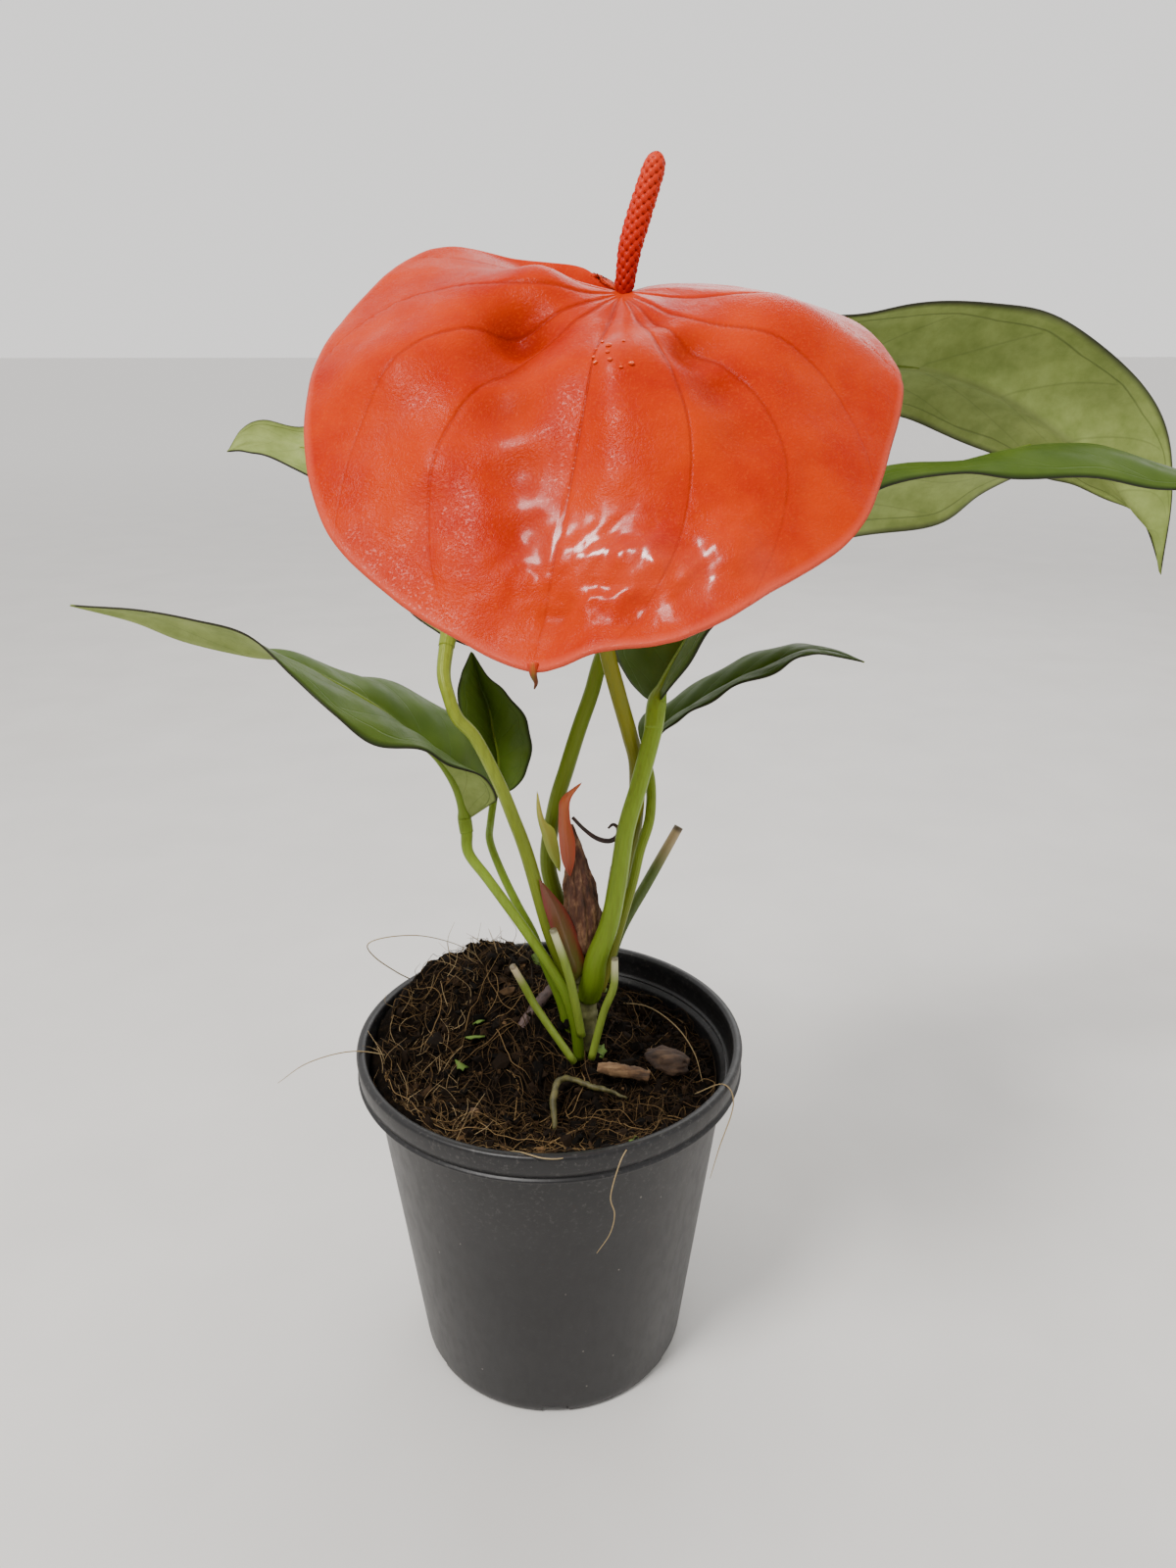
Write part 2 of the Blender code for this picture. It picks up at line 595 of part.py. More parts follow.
def main():
    clear_scene()
    make_pot()
    feet = make_stems()
    make_soil(feet)
    make_crown()
    for name, rows in BLADES.items():
        make_blade(name, rows, BLADE_COLOURS[name])
    make_spathe()
    make_tapered_pieces()
    make_lying_pieces()
    make_lump("bark_chunk", CHUNK_CENTRE, CHUNK_SIZE, CHUNK_TURN, BARK)
    make_lump("pebble", PEBBLE_CENTRE, PEBBLE_SIZE, 0, PEBBLE_TAN)
    make_lump("leaf_scrap", SCRAP_CENTRE, SCRAP_SIZE, SCRAP_TURN, SCRAP_GREEN)


main()
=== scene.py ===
"""The looks of the potted anthurium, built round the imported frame.

Shapes are laid out in millimetres, with the pot's underside centred at the origin and +Y to the back,
and turned into metres when a mesh is made. Every list of points is a control net for a smooth curve.
"""

import math

import bpy
import numpy as np
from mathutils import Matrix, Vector, noise


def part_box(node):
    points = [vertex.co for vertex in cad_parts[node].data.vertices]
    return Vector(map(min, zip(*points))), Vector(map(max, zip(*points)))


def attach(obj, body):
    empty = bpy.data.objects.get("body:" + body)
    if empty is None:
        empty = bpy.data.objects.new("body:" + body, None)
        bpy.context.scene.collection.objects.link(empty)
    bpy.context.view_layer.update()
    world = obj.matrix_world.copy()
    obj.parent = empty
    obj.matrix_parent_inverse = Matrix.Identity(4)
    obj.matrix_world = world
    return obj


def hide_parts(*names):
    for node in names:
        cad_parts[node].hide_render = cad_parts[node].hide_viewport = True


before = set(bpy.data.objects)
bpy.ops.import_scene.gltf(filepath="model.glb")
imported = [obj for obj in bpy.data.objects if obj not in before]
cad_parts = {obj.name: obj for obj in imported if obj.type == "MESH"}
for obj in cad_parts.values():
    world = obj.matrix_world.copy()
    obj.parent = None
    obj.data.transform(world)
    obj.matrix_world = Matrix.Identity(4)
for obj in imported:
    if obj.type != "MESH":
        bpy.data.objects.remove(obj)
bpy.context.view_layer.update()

MM = 0.001
POT_LOW, POT_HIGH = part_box("pot")
RIM_RADIUS = (POT_HIGH.x - POT_LOW.x) / 2 / MM
POT_HEIGHT = POT_HIGH.z / MM
GOLDEN_ANGLE = math.pi * (3 - math.sqrt(5))
WELD_GAP = 0.02


# ---------------------------------------------------------------- curves and meshes


def smooth(points, steps):
    """Points on a Catmull-Rom curve through the given ones, with steps spans between each two."""
    given = np.array(points, dtype=float)
    if given.ndim == 1:
        given = given[:, None]
    first = 2 * given[0] - given[1]
    last = 2 * given[-1] - given[-2]
    padded = np.vstack([first, given, last])
    parts = np.arange(steps) / steps
    out = []
    for i in range(len(given) - 1):
        a, b, c, d = padded[i : i + 4]
        for t in parts:
            start = 2 * b + (c - a) * t + (2 * a - 5 * b + 4 * c - d) * t**2
            out.append(0.5 * (start + (3 * b - a - 3 * c + d) * t**3))
    out.append(given[-1])
    return np.array(out)


def even(points, count):
    """The same polyline with count points evenly spaced along its length."""
    steps = np.linalg.norm(np.diff(points, axis=0), axis=1)
    along = np.concatenate([[0], np.cumsum(steps)])
    at = np.linspace(0, along[-1], count)
    return np.column_stack([np.interp(at, along, points[:, k]) for k in range(points.shape[1])])


def fractal(point, scale, octaves=4):
    """Signed fractal noise about features of the given size in millimetres."""
    return noise.fractal(Vector(point) / scale, 1.0, 2.0, octaves)


def make_object(name, points, faces, uv=None, values=None, materials=()):
    """A smooth mesh from points in millimetres, with an optional UV pair and named values at each point."""
    mesh = bpy.data.meshes.new(name)
    mesh.from_pydata((np.asarray(points) * MM).tolist(), [], faces)
    if uv is not None:
        layer = mesh.uv_layers.new(name="Along")
        corners = np.empty(len(mesh.loops), dtype=np.int32)
        mesh.loops.foreach_get("vertex_index", corners)
        layer.data.foreach_set("uv", np.asarray(uv, dtype=np.float32)[corners].ravel())
    for key, value in (values or {}).items():
        stored = mesh.attributes.new(key, "FLOAT", "POINT")
        stored.data.foreach_set("value", np.asarray(value, dtype=np.float32))
    mesh.shade_smooth()
    made = bpy.data.objects.new(name, mesh)
    for look in materials:
        mesh.materials.append(look)
    bpy.context.scene.collection.objects.link(made)
    return made


def settle(made, slot, *nodes):
    """The piece rides on the one body and stands for its CAD nodes, which are hidden; slot is not used."""
    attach(made, "root")
    if nodes:
        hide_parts(*nodes)
    return made


def grid_faces(rows, columns, closed=False):
    """Quads of a grid stored row by row. A closed grid joins its last column to its first."""
    spans = columns if closed else columns - 1
    faces = []
    for i in range(rows - 1):
        for k in range(spans):
            right = (k + 1) % columns
            low, high = i * columns, (i + 1) * columns
            faces.append((low + k, low + right, high + right, high + k))
    return faces


def tube_points(route, radii, sides):
    """Rings of points round a route that don't twist."""
    route = np.asarray(route, dtype=float)
    ahead = np.gradient(route, axis=0)
    ahead /= np.linalg.norm(ahead, axis=1)[:, None]
    turns = np.linspace(0, math.tau, sides, endpoint=False)
    across = np.array([1.0, 0.0, 0.0])
    if abs(ahead[0][0]) > 0.9:
        across = np.array([0.0, 1.0, 0.0])
    rings = []
    for centre, forward, radius in zip(route, ahead, radii):
        across = across - forward * across.dot(forward)
        across /= np.linalg.norm(across)
        other = np.cross(forward, across)
        rings.append(centre + radius * (np.cos(turns)[:, None] * across + np.sin(turns)[:, None] * other))
    return np.vstack(rings)


def tube_mesh(route, radii, sides):
    """Points, faces and UV of a closed tube."""
    points = tube_points(route, radii, sides)
    rows = len(route)
    faces = grid_faces(rows, sides, closed=True)
    faces.append(tuple(reversed(range(sides))))
    faces.append(tuple(range((rows - 1) * sides, rows * sides)))
    along = np.repeat(np.linspace(0, 1, rows), sides)
    around = np.tile(np.arange(sides) / sides, rows)
    return points, faces, np.column_stack([along, around])


def tube(name, points, radii, look, steps=8, sides=20):
    """A tube with a smooth route and radii that ease between those given."""
    route = smooth(points, steps)
    given = np.interp(np.linspace(0, 1, len(points)), np.linspace(0, 1, len(radii)), radii)
    eased = np.maximum(smooth(given, steps)[:, 0], 0.05)
    shape, faces, uv = tube_mesh(route, eased, sides)
    return make_object(name, shape, faces, uv, materials=[look])


def merge(parts):
    """Many (points, faces) as one, with the index of its part for each point."""
    points, faces, owners, start = [], [], [], 0
    for number, (shape, own) in enumerate(parts):
        points.append(shape)
        faces.extend(tuple(index + start for index in face) for face in own)
        owners.append(np.full(len(shape), number))
        start += len(shape)
    return np.vstack(points), faces, np.concatenate(owners)


def make_toned(name, parts, tones, look):
    """Many small pieces as one mesh, each with its own tone."""
    points, faces, owners = merge(parts)
    return make_object(name, points, faces, values={"tone": np.array(tones)[owners]}, materials=[look])


def make_sheet(name, grid, u, v, flip=False, values=None, materials=()):
    """A sheet from a grid of points, with its UV pair from u and v."""
    faces = grid_faces(grid.shape[0], grid.shape[1])
    if flip:
        faces = [tuple(reversed(face)) for face in faces]
    uv = np.column_stack([u.ravel(), v.ravel()])
    return make_object(name, grid.reshape(-1, 3), faces, uv, values, materials)


def thicken(made, thickness, offset=-1.0):
    """Weld the points that meet at a sheet's ends and give it a thickness in millimetres."""
    weld = made.modifiers.new("close_ends", "WELD")
    weld.merge_threshold = WELD_GAP * MM
    solid = made.modifiers.new("thickness", "SOLIDIFY")
    solid.thickness = thickness * MM
    solid.offset = offset
    return solid


# ---------------------------------------------------------------- materials


class Look:
    """A Principled material and short ways to add pattern nodes to it."""

    def __init__(self, name, roughness, **sockets):
        self.material = bpy.data.materials.new(name)
        self.material.use_nodes = True
        self.tree = self.material.node_tree
        self.shader = self.tree.nodes["Principled BSDF"]
        self.shader.inputs["Roughness"].default_value = roughness
        for key, value in sockets.items():
            self.shader.inputs[key.replace("_", " ")].default_value = value

    def node(self, kind, sockets, **settings):
        made = self.tree.nodes.new("ShaderNode" + kind)
        for key, value in settings.items():
            setattr(made, key, value)
        for key, value in sockets.items():
            if isinstance(value, bpy.types.NodeSocket):
                self.tree.links.new(value, made.inputs[key])
            else:
                made.inputs[key].default_value = value
        return made

    def place(self):
        return self.node("TexCoord", {}).outputs["Object"]

    def stretched(self, scale):
        """Object coordinates with their own scale on each axis."""
        return self.node("Mapping", {"Vector": self.place(), "Scale": scale}).outputs["Vector"]

    def value(self, name):
        return self.node("Attribute", {}, attribute_name=name).outputs["Fac"]

    def along(self):
        """The UV pair as two values."""
        pair = self.node("UVMap", {}, uv_map="Along").outputs["UV"]
        parts = self.node("SeparateXYZ", {"Vector": pair})
        return parts.outputs["X"], parts.outputs["Y"]

    def noise(self, size, detail=4, roughness=0.55, vector=None):
        """Noise with features of about size millimetres."""
        sockets = {"Vector": vector or self.place(), "Scale": 1 / (size * MM)}
        sockets.update({"Detail": detail, "Roughness": roughness})
        return self.node("TexNoise", sockets).outputs["Fac"]

    def cells(self, size, vector=None):
        """Distance to the nearest of scattered points about size millimetres apart."""
        sockets = {"Vector": vector or self.place(), "Scale": 1 / (size * MM)}
        return self.node("TexVoronoi", sockets).outputs["Distance"]

    def maths(self, operation, a, b=0.0, c=0.0):
        return self.node("Math", {0: a, 1: b, 2: c}, operation=operation).outputs[0]

    def between(self, value, low, high, low_out=0.0, high_out=1.0):
        """value from low to high, mapped smoothly onto low_out to high_out."""
        sockets = {"Value": value, "From Min": low, "From Max": high, "To Min": low_out, "To Max": high_out}
        return self.node("MapRange", sockets, interpolation_type="SMOOTHSTEP").outputs["Result"]

    def ramp(self, value, *stops):
        """Colours by value: each stop is (position, colour)."""
        made = self.node("ValToRGB", {"Fac": value})
        elements = made.color_ramp.elements
        while len(elements) < len(stops):
            elements.new(0.5)
        for element, (position, colour) in zip(elements, stops):
            element.position = position
            element.color = (*colour, 1)
        return made.outputs["Color"]

    def mix(self, share, a, b, blend="MIX"):
        made = self.node("Mix", {0: share}, data_type="RGBA", blend_type=blend)
        for index, colour in ((6, a), (7, b)):
            if isinstance(colour, bpy.types.NodeSocket):
                self.tree.links.new(colour, made.inputs[index])
            else:
                made.inputs[index].default_value = (*colour, 1)
        return made.outputs[2]

    def colour(self, socket):
        self.tree.links.new(socket, self.shader.inputs["Base Color"])

    def coat(self, socket):
        self.tree.links.new(socket, self.shader.inputs["Coat Weight"])

    def rough(self, socket):
        self.tree.links.new(socket, self.shader.inputs["Roughness"])

    def bump(self, *layers):
        """Bump from (height socket, depth in millimetres) layers."""
        normal = None
        for height, depth in layers:
            sockets = {"Height": height, "Distance": depth * MM, "Strength": 1.0}
            if normal is not None:
                sockets["Normal"] = normal
            normal = self.node("Bump", sockets).outputs["Normal"]
        self.tree.links.new(normal, self.shader.inputs["Normal"])


def spathe_lines(look):
    """Thin lines on the spathe's main veins, from the fan's own coordinates."""
    round_rim, out = look.along()
    spoke = look.maths("MULTIPLY", round_rim, len(SPATHE_RIM) - 1)
    total = 0.0
    for a, b, c in SPATHE_VEINS:
        slope = look.maths("MULTIPLY_ADD", out, c, b)
        place = look.maths("MULTIPLY_ADD", out, slope, a + TIP_SPOKE)
        gap = look.maths("MULTIPLY", look.maths("ABSOLUTE", look.maths("SUBTRACT", spoke, place)), out)
        total = look.maths("MAXIMUM", look.between(gap, 0.002, 0.034, 1, 0), total)
    fade = look.maths("MULTIPLY", look.between(out, 0.05, 0.14), look.between(out, 0.5, 1, 1, 0.3))
    return look.maths("MULTIPLY", total, fade)


def spathe_look(name, base, dark, sheen, vein_share=0.42):
    """Waxy orange-red tissue: mottled, with darker veins, a pink margin, a fine grain that carries a painted
    sheen, and painted shade in the dents.
    """
    look = Look(name, 0.3, Specular_IOR_Level=0.05, Coat_Roughness=0.17)
    patches = look.ramp(look.noise(14), (0.3, dark), (0.62, base))
    # painted shade: the colour darkens where the spathe is dented, as if shade lay in the hollows
    dent_shaded = look.mix(look.value("dent_shade"), patches, tuple(c * 0.6 for c in dark))
    grain = look.noise(0.5, 2)
    # painted sheen: a lighter, pinker colour mixed in along the fine grain
    sheened = look.mix(look.between(grain, 0.5, 0.75, 0, 0.35), dent_shaded, sheen)
    lines = spathe_lines(look)
    veined = look.mix(look.maths("MULTIPLY", lines, vein_share), sheened, tuple(c * 0.55 for c in dark))
    edged = look.mix(look.maths("MULTIPLY", look.value("margin"), 0.7), veined, (0.62, 0.09, 0.05))
    spots = look.between(look.cells(21), 0.0, 0.035, 0.5, 0.0)
    look.colour(look.mix(spots, edged, (0.22, 0.05, 0.02)))
    satin = look.between(look.noise(6, 3), 0.35, 0.7, 0.22, 0.38)
    look.rough(satin)
    sparkle = look.between(look.noise(0.5, 2), 0.52, 0.7, 0, 0.08)
    look.coat(look.maths("ADD", look.value("gloss"), sparkle))
    look.bump((lines, -0.1), (look.noise(2.4, 3), 0.10), (grain, 0.10), (look.noise(0.22, 1), 0.05))
    return look.material


def blade_lines(look, side_share):
    """Thin side veins that sweep towards the tip, and the collecting vein inside the margin."""
    along, across = look.along()
    reach = look.maths("ABSOLUTE", across)
    phase = look.maths("MULTIPLY_ADD", reach, -VEIN_SWEEP, look.maths("MULTIPLY", along, SIDE_VEINS))
    gap = look.maths("PINGPONG", phase, 0.5)
    thin = look.between(gap, 0.0, 0.035, 1, 0)
    side = look.maths("MULTIPLY", thin, look.between(reach, 0.78, 0.82, side_share, 0))
    scallop = look.maths("MULTIPLY_ADD", gap, -0.09, 0.84)
    edge_gap = look.maths("ABSOLUTE", look.maths("SUBTRACT", reach, scallop))
    return look.maths("MAXIMUM", side, look.between(edge_gap, 0.0, 0.018, 1, 0))


def rib_line(look):
    """The pale band on the midrib, which fades towards the tip."""
    along, across = look.along()
    band = look.between(look.maths("ABSOLUTE", across), 0.02, 0.07, 1, 0)
    return look.maths("MULTIPLY", band, look.between(along, 0.3, 1.0, 1, 0.3))


def leaf_top_look(name="leaf_top", deep=(0.050, 0.092, 0.010), fresh=(0.078, 0.130, 0.016)):
    """Dark satin green with a pale midrib and faint side veins that run towards the tip."""
    look = Look(name, 0.42, Specular_IOR_Level=0.1)
    patches = look.ramp(look.noise(13), (0.3, deep), (0.72, fresh))
    lines = blade_lines(look, 0.6)
    veined = look.mix(look.maths("MULTIPLY", lines, 0.3), patches, (0.09, 0.15, 0.035))
    ribbed = look.mix(look.maths("MULTIPLY", rib_line(look), 0.75), veined, (0.13, 0.20, 0.045))
    look.colour(look.mix(look.value("margin"), ribbed, (0.02, 0.03, 0.01)))
    look.rough(look.between(look.noise(5, 3), 0.35, 0.7, 0.36, 0.5))
    look.bump((lines, -0.08), (look.noise(1.1, 3), 0.035), (look.noise(0.25, 2), 0.02))
    return look.material


def leaf_under_look(name="leaf_under", deep=(0.20, 0.260, 0.060), fresh=(0.29, 0.360, 0.100)):
    """Light olive underside, mottled, with thin dark side veins."""
    look = Look(name, 0.55, Specular_IOR_Level=0.2)
    feathery = look.noise(7, 6, 0.65)
    patches = look.ramp(feathery, (0.36, deep), (0.64, fresh))
    lines = blade_lines(look, 0.45)
    veined = look.mix(look.maths("MULTIPLY", lines, 0.6), patches, (0.09, 0.12, 0.03))
    ribbed = look.mix(look.maths("MULTIPLY", rib_line(look), 0.5), veined, (0.30, 0.36, 0.12))
    look.colour(look.mix(look.value("margin"), ribbed, (0.022, 0.022, 0.010)))
    look.bump((lines, 0.08), (look.noise(1.4, 3), 0.04), (look.noise(0.3, 2), 0.02))
    return look.material


def stem_look(name, low, high, blush=(0.14, 0.17, 0.020), roughness=0.38):
    """A stem that changes colour from its foot to its top, with faint lengthwise streaks."""
    look = Look(name, roughness, Specular_IOR_Level=0.3, Specular_Tint=(0.8, 0.9, 0.5, 1))
    along, around = look.along()
    shade = look.ramp(along, (0.0, low), (0.45, high), (1.0, high))
    streaks = look.noise(3.0, 4, vector=look.stretched((3.0, 3.0, 0.35)))
    streaked = look.mix(look.between(streaks, 0.42, 0.72, 0, 0.45), shade, blush)
    rib = look.maths("SINE", look.maths("MULTIPLY", around, 14 * math.tau))
    look.colour(streaked)
    look.bump((look.noise(0.8, 3, vector=look.stretched((1, 1, 0.25))), 0.06), (rib, 0.02))
    return look.material


def fibrous_look(name, dark, middle, light, size=1.0, depth=0.12, roughness=0.8, stretch=(1, 1, 0.12)):
    """Dry fibrous tissue, such as bark, sheath or root, streaked along the Z axis by default."""
    look = Look(name, roughness)
    streaks = look.noise(size, 6, 0.65, look.stretched(stretch))
    patches = look.noise(size * 5, 4)
    both = look.maths("ADD", look.maths("MULTIPLY", streaks, 0.6), look.maths("MULTIPLY", patches, 0.4))
    look.colour(look.ramp(both, (0.36, dark), (0.5, middle), (0.66, light)))
    look.bump((streaks, depth), (look.noise(size * 0.3, 3), depth * 0.4))
    return look.material


def pot_look():
    """Charcoal moulded plastic: satin, faintly scuffed, with dust and soil specks towards the top."""
    look = Look("pot_plastic", 0.4, Specular_IOR_Level=0.42)
    height = look.node("SeparateXYZ", {"Vector": look.place()}).outputs["Z"]
    base = look.ramp(look.noise(16, 3), (0.3, (0.0075, 0.0072, 0.0078)), (0.7, (0.011, 0.0105, 0.0115)))
    dust_amount = look.between(height, 0.05, 0.092, 0.02, 0.16)
    dust = look.maths("MULTIPLY", look.between(look.noise(1.2, 6, 0.75), 0.52, 0.72), dust_amount)
    dusty = look.mix(dust, base, (0.32, 0.30, 0.28))
    specks = look.between(look.cells(8.5, look.stretched((1.2, 0.8, 1))), 0.02, 0.045, 0.5, 0.0)
    specked = look.mix(specks, dusty, (0.30, 0.27, 0.23))
    dirt = look.between(look.cells(7.3, look.stretched((1.1, 0.9, 1.3))), 0.04, 0.07, 0.9, 0.0)
    look.colour(look.mix(dirt, specked, (0.015, 0.010, 0.007)))
    scuffs = look.noise(2.2, 5, 0.6, look.stretched((1, 1, 0.4)))
    look.rough(look.between(scuffs, 0.35, 0.7, 0.38, 0.44))
    look.bump((look.noise(0.35, 2), 0.012), (look.noise(14, 1), 0.1))
    return look.material


def medium_look():
    """Dark damp peat with browner crumbs and a few golden coir patches."""
    look = Look("growing_mix", 0.95, Specular_IOR_Level=0.08)
    crumbs = look.noise(2.4, 6, 0.7)
    fine = look.noise(0.5, 4, 0.7)
    both = look.maths("ADD", look.maths("MULTIPLY", crumbs, 0.6), look.maths("MULTIPLY", fine, 0.4))
    damp, brown, dry = (0.0015, 0.001, 0.0008), (0.006, 0.0038, 0.0022), (0.028, 0.016, 0.008)
    dark = look.ramp(both, (0.38, damp), (0.54, brown), (0.70, dry))
    golden = look.between(look.noise(13, 3), 0.58, 0.74, 0, 0.3)
    look.colour(look.mix(golden, dark, (0.05, 0.028, 0.010)))
    look.bump((crumbs, 0.9), (fine, 0.4))
    return look.material


def toned_look(name, dark, middle, light, roughness=0.8):
    """For many small pieces in one mesh: each has its own tone, from dark to light."""
    look = Look(name, roughness, Specular_IOR_Level=0.15)
    tone = look.value("tone")
    flecks = look.maths("MULTIPLY", look.noise(0.9, 3), 0.25)
    look.colour(look.ramp(look.maths("ADD", tone, flecks), (0.15, dark), (0.6, middle), (1.0, light)))
    look.bump((look.noise(0.4, 3), 0.06))
    return look.material


# ---------------------------------------------------------------- pot


DRAIN_SLOTS = 6
SLOT_SIZE = (9, 7, 5.2)
SLOT_RADIUS = 35.8


def pot_profile():
    """The pot's section from the axis underneath, round the rim, to the axis inside."""
    band = POT_HEIGHT - 7.3
    return [
        (0, 0), (30, 0), (34.4, 0.05), (35.3, 0.5), (35.8, 1.4), (36.1, 2.6), (36.3, 4.0), (41.0, 44.0),
        (45.7, 83.4), (45.9, 84.6), (45.9, band), (49.3, band), (49.8, band + 0.15), (49.95, band + 0.5),
        (49.8, band + 0.85), (49.35, band + 1.0), (49.2, band + 1.3), (49.5, band + 1.6), (49.7, band + 3.2),
        (49.95, POT_HEIGHT - 1.0), (49.8, POT_HEIGHT - 0.4), (49.3, POT_HEIGHT),
        (48.5, POT_HEIGHT), (47.8, POT_HEIGHT - 0.2), (47.5, POT_HEIGHT - 0.8), (47.2, POT_HEIGHT - 3.0),
        (47.0, band + 0.9), (46.6, band + 0.2), (44.8, band - 0.9), (44.5, band - 1.8), (39.6, 44.0),
        (34.8, 3.4), (34.0, 2.1), (33.0, 1.8), (0, 1.8),
    ]


def make_pot():
    """The pot as a fine turned shell with drainage slots cut through its foot."""
    sides = 144
    profile = np.array(pot_profile(), dtype=float)
    turns = np.linspace(0, math.tau, sides, endpoint=False)
    rings = []
    for radius, height in profile[1:-1]:
        across, deep = radius * np.cos(turns), radius * np.sin(turns)
        rings.append(np.column_stack([across, deep, np.full(sides, height)]))
    points = np.vstack([*rings, [[0, 0, 0]], [[0, 0, profile[-1][1]]]])
    rows = len(rings)
    faces = grid_faces(rows, sides, closed=True)
    under = rows * sides
    for k in range(sides):
        right = (k + 1) % sides
        faces.append((under, right, k))
        faces.append((under + 1, (rows - 1) * sides + k, (rows - 1) * sides + right))
    pot = make_object("nursery_pot", points, faces, materials=[pot_look()])
    pot.data.set_sharp_from_angle(angle=math.radians(50))
    for number in range(DRAIN_SLOTS):
        cut_slot(pot, math.tau * (number + 0.5) / DRAIN_SLOTS)
    settle(pot, "pot_plastic", "pot")


def cut_slot(pot, turn):
    """One drainage slot, cut with a hidden guide that is removed once it is applied."""
    bpy.ops.mesh.primitive_cube_add(size=1)
    guide = bpy.context.object
    guide.scale = [side * MM for side in SLOT_SIZE]
    guide.location = (SLOT_RADIUS * MM * math.cos(turn), SLOT_RADIUS * MM * math.sin(turn), 0)
    guide.rotation_euler = (0, 0, turn)
    cut = pot.modifiers.new("slot", "BOOLEAN")
    cut.operation = "DIFFERENCE"
    cut.object = guide
    bpy.context.view_layer.objects.active = pot
    bpy.ops.object.modifier_apply(modifier=cut.name)
    bpy.data.objects.remove(guide, do_unlink=True)


# ---------------------------------------------------------------- growing medium

BED_HEIGHT = 82.0
LEDGE_TOP = POT_HEIGHT - 6.2
WALL_RADIUS = 44.0
COLLAR_RADIUS = 43.9
# Radius and height of the rings below the surface
SOIL_SIDE = ((WALL_RADIUS, 78.0), (35.0, 6.0), (31.0, 2.3))
SOIL_BUMPS = [(-16, 26, 20, 17), (6, 4, 7, 12), (3, -19, -4, 9)]  # x, y, height, spread


def soil_height(x, y):
    """The medium's heap, without its roughness."""
    height = BED_HEIGHT
    for centre_x, centre_y, rise, spread in SOIL_BUMPS:
        away = (x - centre_x) ** 2 + (y - centre_y) ** 2
        height += rise * math.exp(-away / (2 * spread**2))
    return height


def ground(x, y):
    """The medium's uneven surface."""
    rough = fractal((x, y, 3.0), 9.0, 3) * 2.2 + fractal((x, y, 40.0), 2.6, 3) * 1.0
    return soil_height(x, y) + banked(x, y) + rough


def banked(x, y):
    """The medium is banked up against the rim on the left and in front."""
    facing = (-0.8 * x - 0.6 * y) / max(math.hypot(x, y), 1)
    share = min(max(facing + 0.15, 0), 0.5) / 0.5
    climb = min(max((math.hypot(x, y) - 30) / 14, 0), 1)
    return 6.0 * share * climb**2


def soil_reach(turn):
    """How far out the surface goes: to the wall below the ledge, or over the ledge where it is high."""
    x, y = WALL_RADIUS * math.cos(turn), WALL_RADIUS * math.sin(turn)
    over = min(max((soil_height(x, y) + banked(x, y) - 87.0) / 1.5, 0), 1)
    return WALL_RADIUS + 2.6 * over


def make_medium():
    """The medium as one closed body: its surface, a collar inside the neck, and rings down to the foot."""
    rings, sides = 84, 220
    rows = []
    for ring in range(1, rings + 1):
        for k in range(sides):
            turn = math.tau * k / sides
            radius = soil_reach(turn) * (ring / rings) ** 0.8
            x, y = radius * math.cos(turn), radius * math.sin(turn)
            drop = 1.2 * max(0, ring / rings - 0.93) / 0.07
            height = ground(x, y) - drop
            rows.append((x, y, max(height, LEDGE_TOP) if radius > WALL_RADIUS + 0.05 else height))
    for k in range(sides):
        turn = math.tau * k / sides
        x, y = COLLAR_RADIUS * math.cos(turn), COLLAR_RADIUS * math.sin(turn)
        edge = rows[(rings - 1) * sides + k][2]
        rows.append((x, y, min(edge - 0.4, LEDGE_TOP - 0.2)))
    for radius, height in SOIL_SIDE:
        for k in range(sides):
            turn = math.tau * k / sides
            rows.append((radius * math.cos(turn), radius * math.sin(turn), height))
    count = rings + 1 + len(SOIL_SIDE)
    rows.append((0, 0, ground(0, 0)))
    rows.append((0, 0, SOIL_SIDE[-1][1]))
    faces = [tuple(reversed(face)) for face in grid_faces(count, sides, closed=True)]
    top = count * sides
    for k in range(sides):
        right = (k + 1) % sides
        faces.append((top, k, right))
        faces.append((top + 1, (count - 1) * sides + right, (count - 1) * sides + k))
    medium = make_object("peat_and_coir", rows, faces, materials=[medium_look()])
    settle(medium, "growing_mix", "growing_medium")


def scattered(rng, count, inner=0.0, outer=43.0):
    """Places on the medium, evenly over its area."""
    radii = np.sqrt(rng.uniform((inner / outer) ** 2, 1, count)) * outer
    turns = rng.uniform(0, math.tau, count)
    return np.column_stack([radii * np.cos(turns), radii * np.sin(turns)])


def ico_template(subdivisions):
    """Points and faces of a unit icosphere."""
    bpy.ops.mesh.primitive_ico_sphere_add(subdivisions=subdivisions, radius=1)
    ball = bpy.context.object
    points = np.array([v.co[:] for v in ball.data.vertices])
    faces = [tuple(p.vertices) for p in ball.data.polygons]
    bpy.data.objects.remove(ball, do_unlink=True)
    return points, faces


def random_turn(rng):
    """A random rotation matrix."""
    turn, _ = np.linalg.qr(rng.normal(size=(3, 3)))
    return turn


def make_crumbs():
    """Crumbs and chips of peat and bark over the whole surface."""
    rng = np.random.default_rng(11)
    ball, faces = ico_template(1)
    parts, tones = [], []
    for x, y in scattered(rng, 1500):
        size = rng.gamma(2.2, 0.34) + 0.25
        stretch = np.array([1.0, rng.uniform(0.5, 1.0), rng.uniform(0.3, 0.8)])
        lumps = 1 + 0.25 * rng.normal(size=(len(ball), 1))
        shape = (ball * lumps * stretch * size) @ random_turn(rng).T
        parts.append((shape + (x, y, ground(x, y) + 0.2 * size), faces))
        tones.append(rng.beta(1.2, 4.0))
    look = toned_look("crumbs", (0.002, 0.0015, 0.001), (0.018, 0.010, 0.005), (0.14, 0.08, 0.035), 0.95)
    made = make_toned("peat_crumbs", parts, tones, look)
    made.data.shade_flat()
    settle(made, "growing_mix")


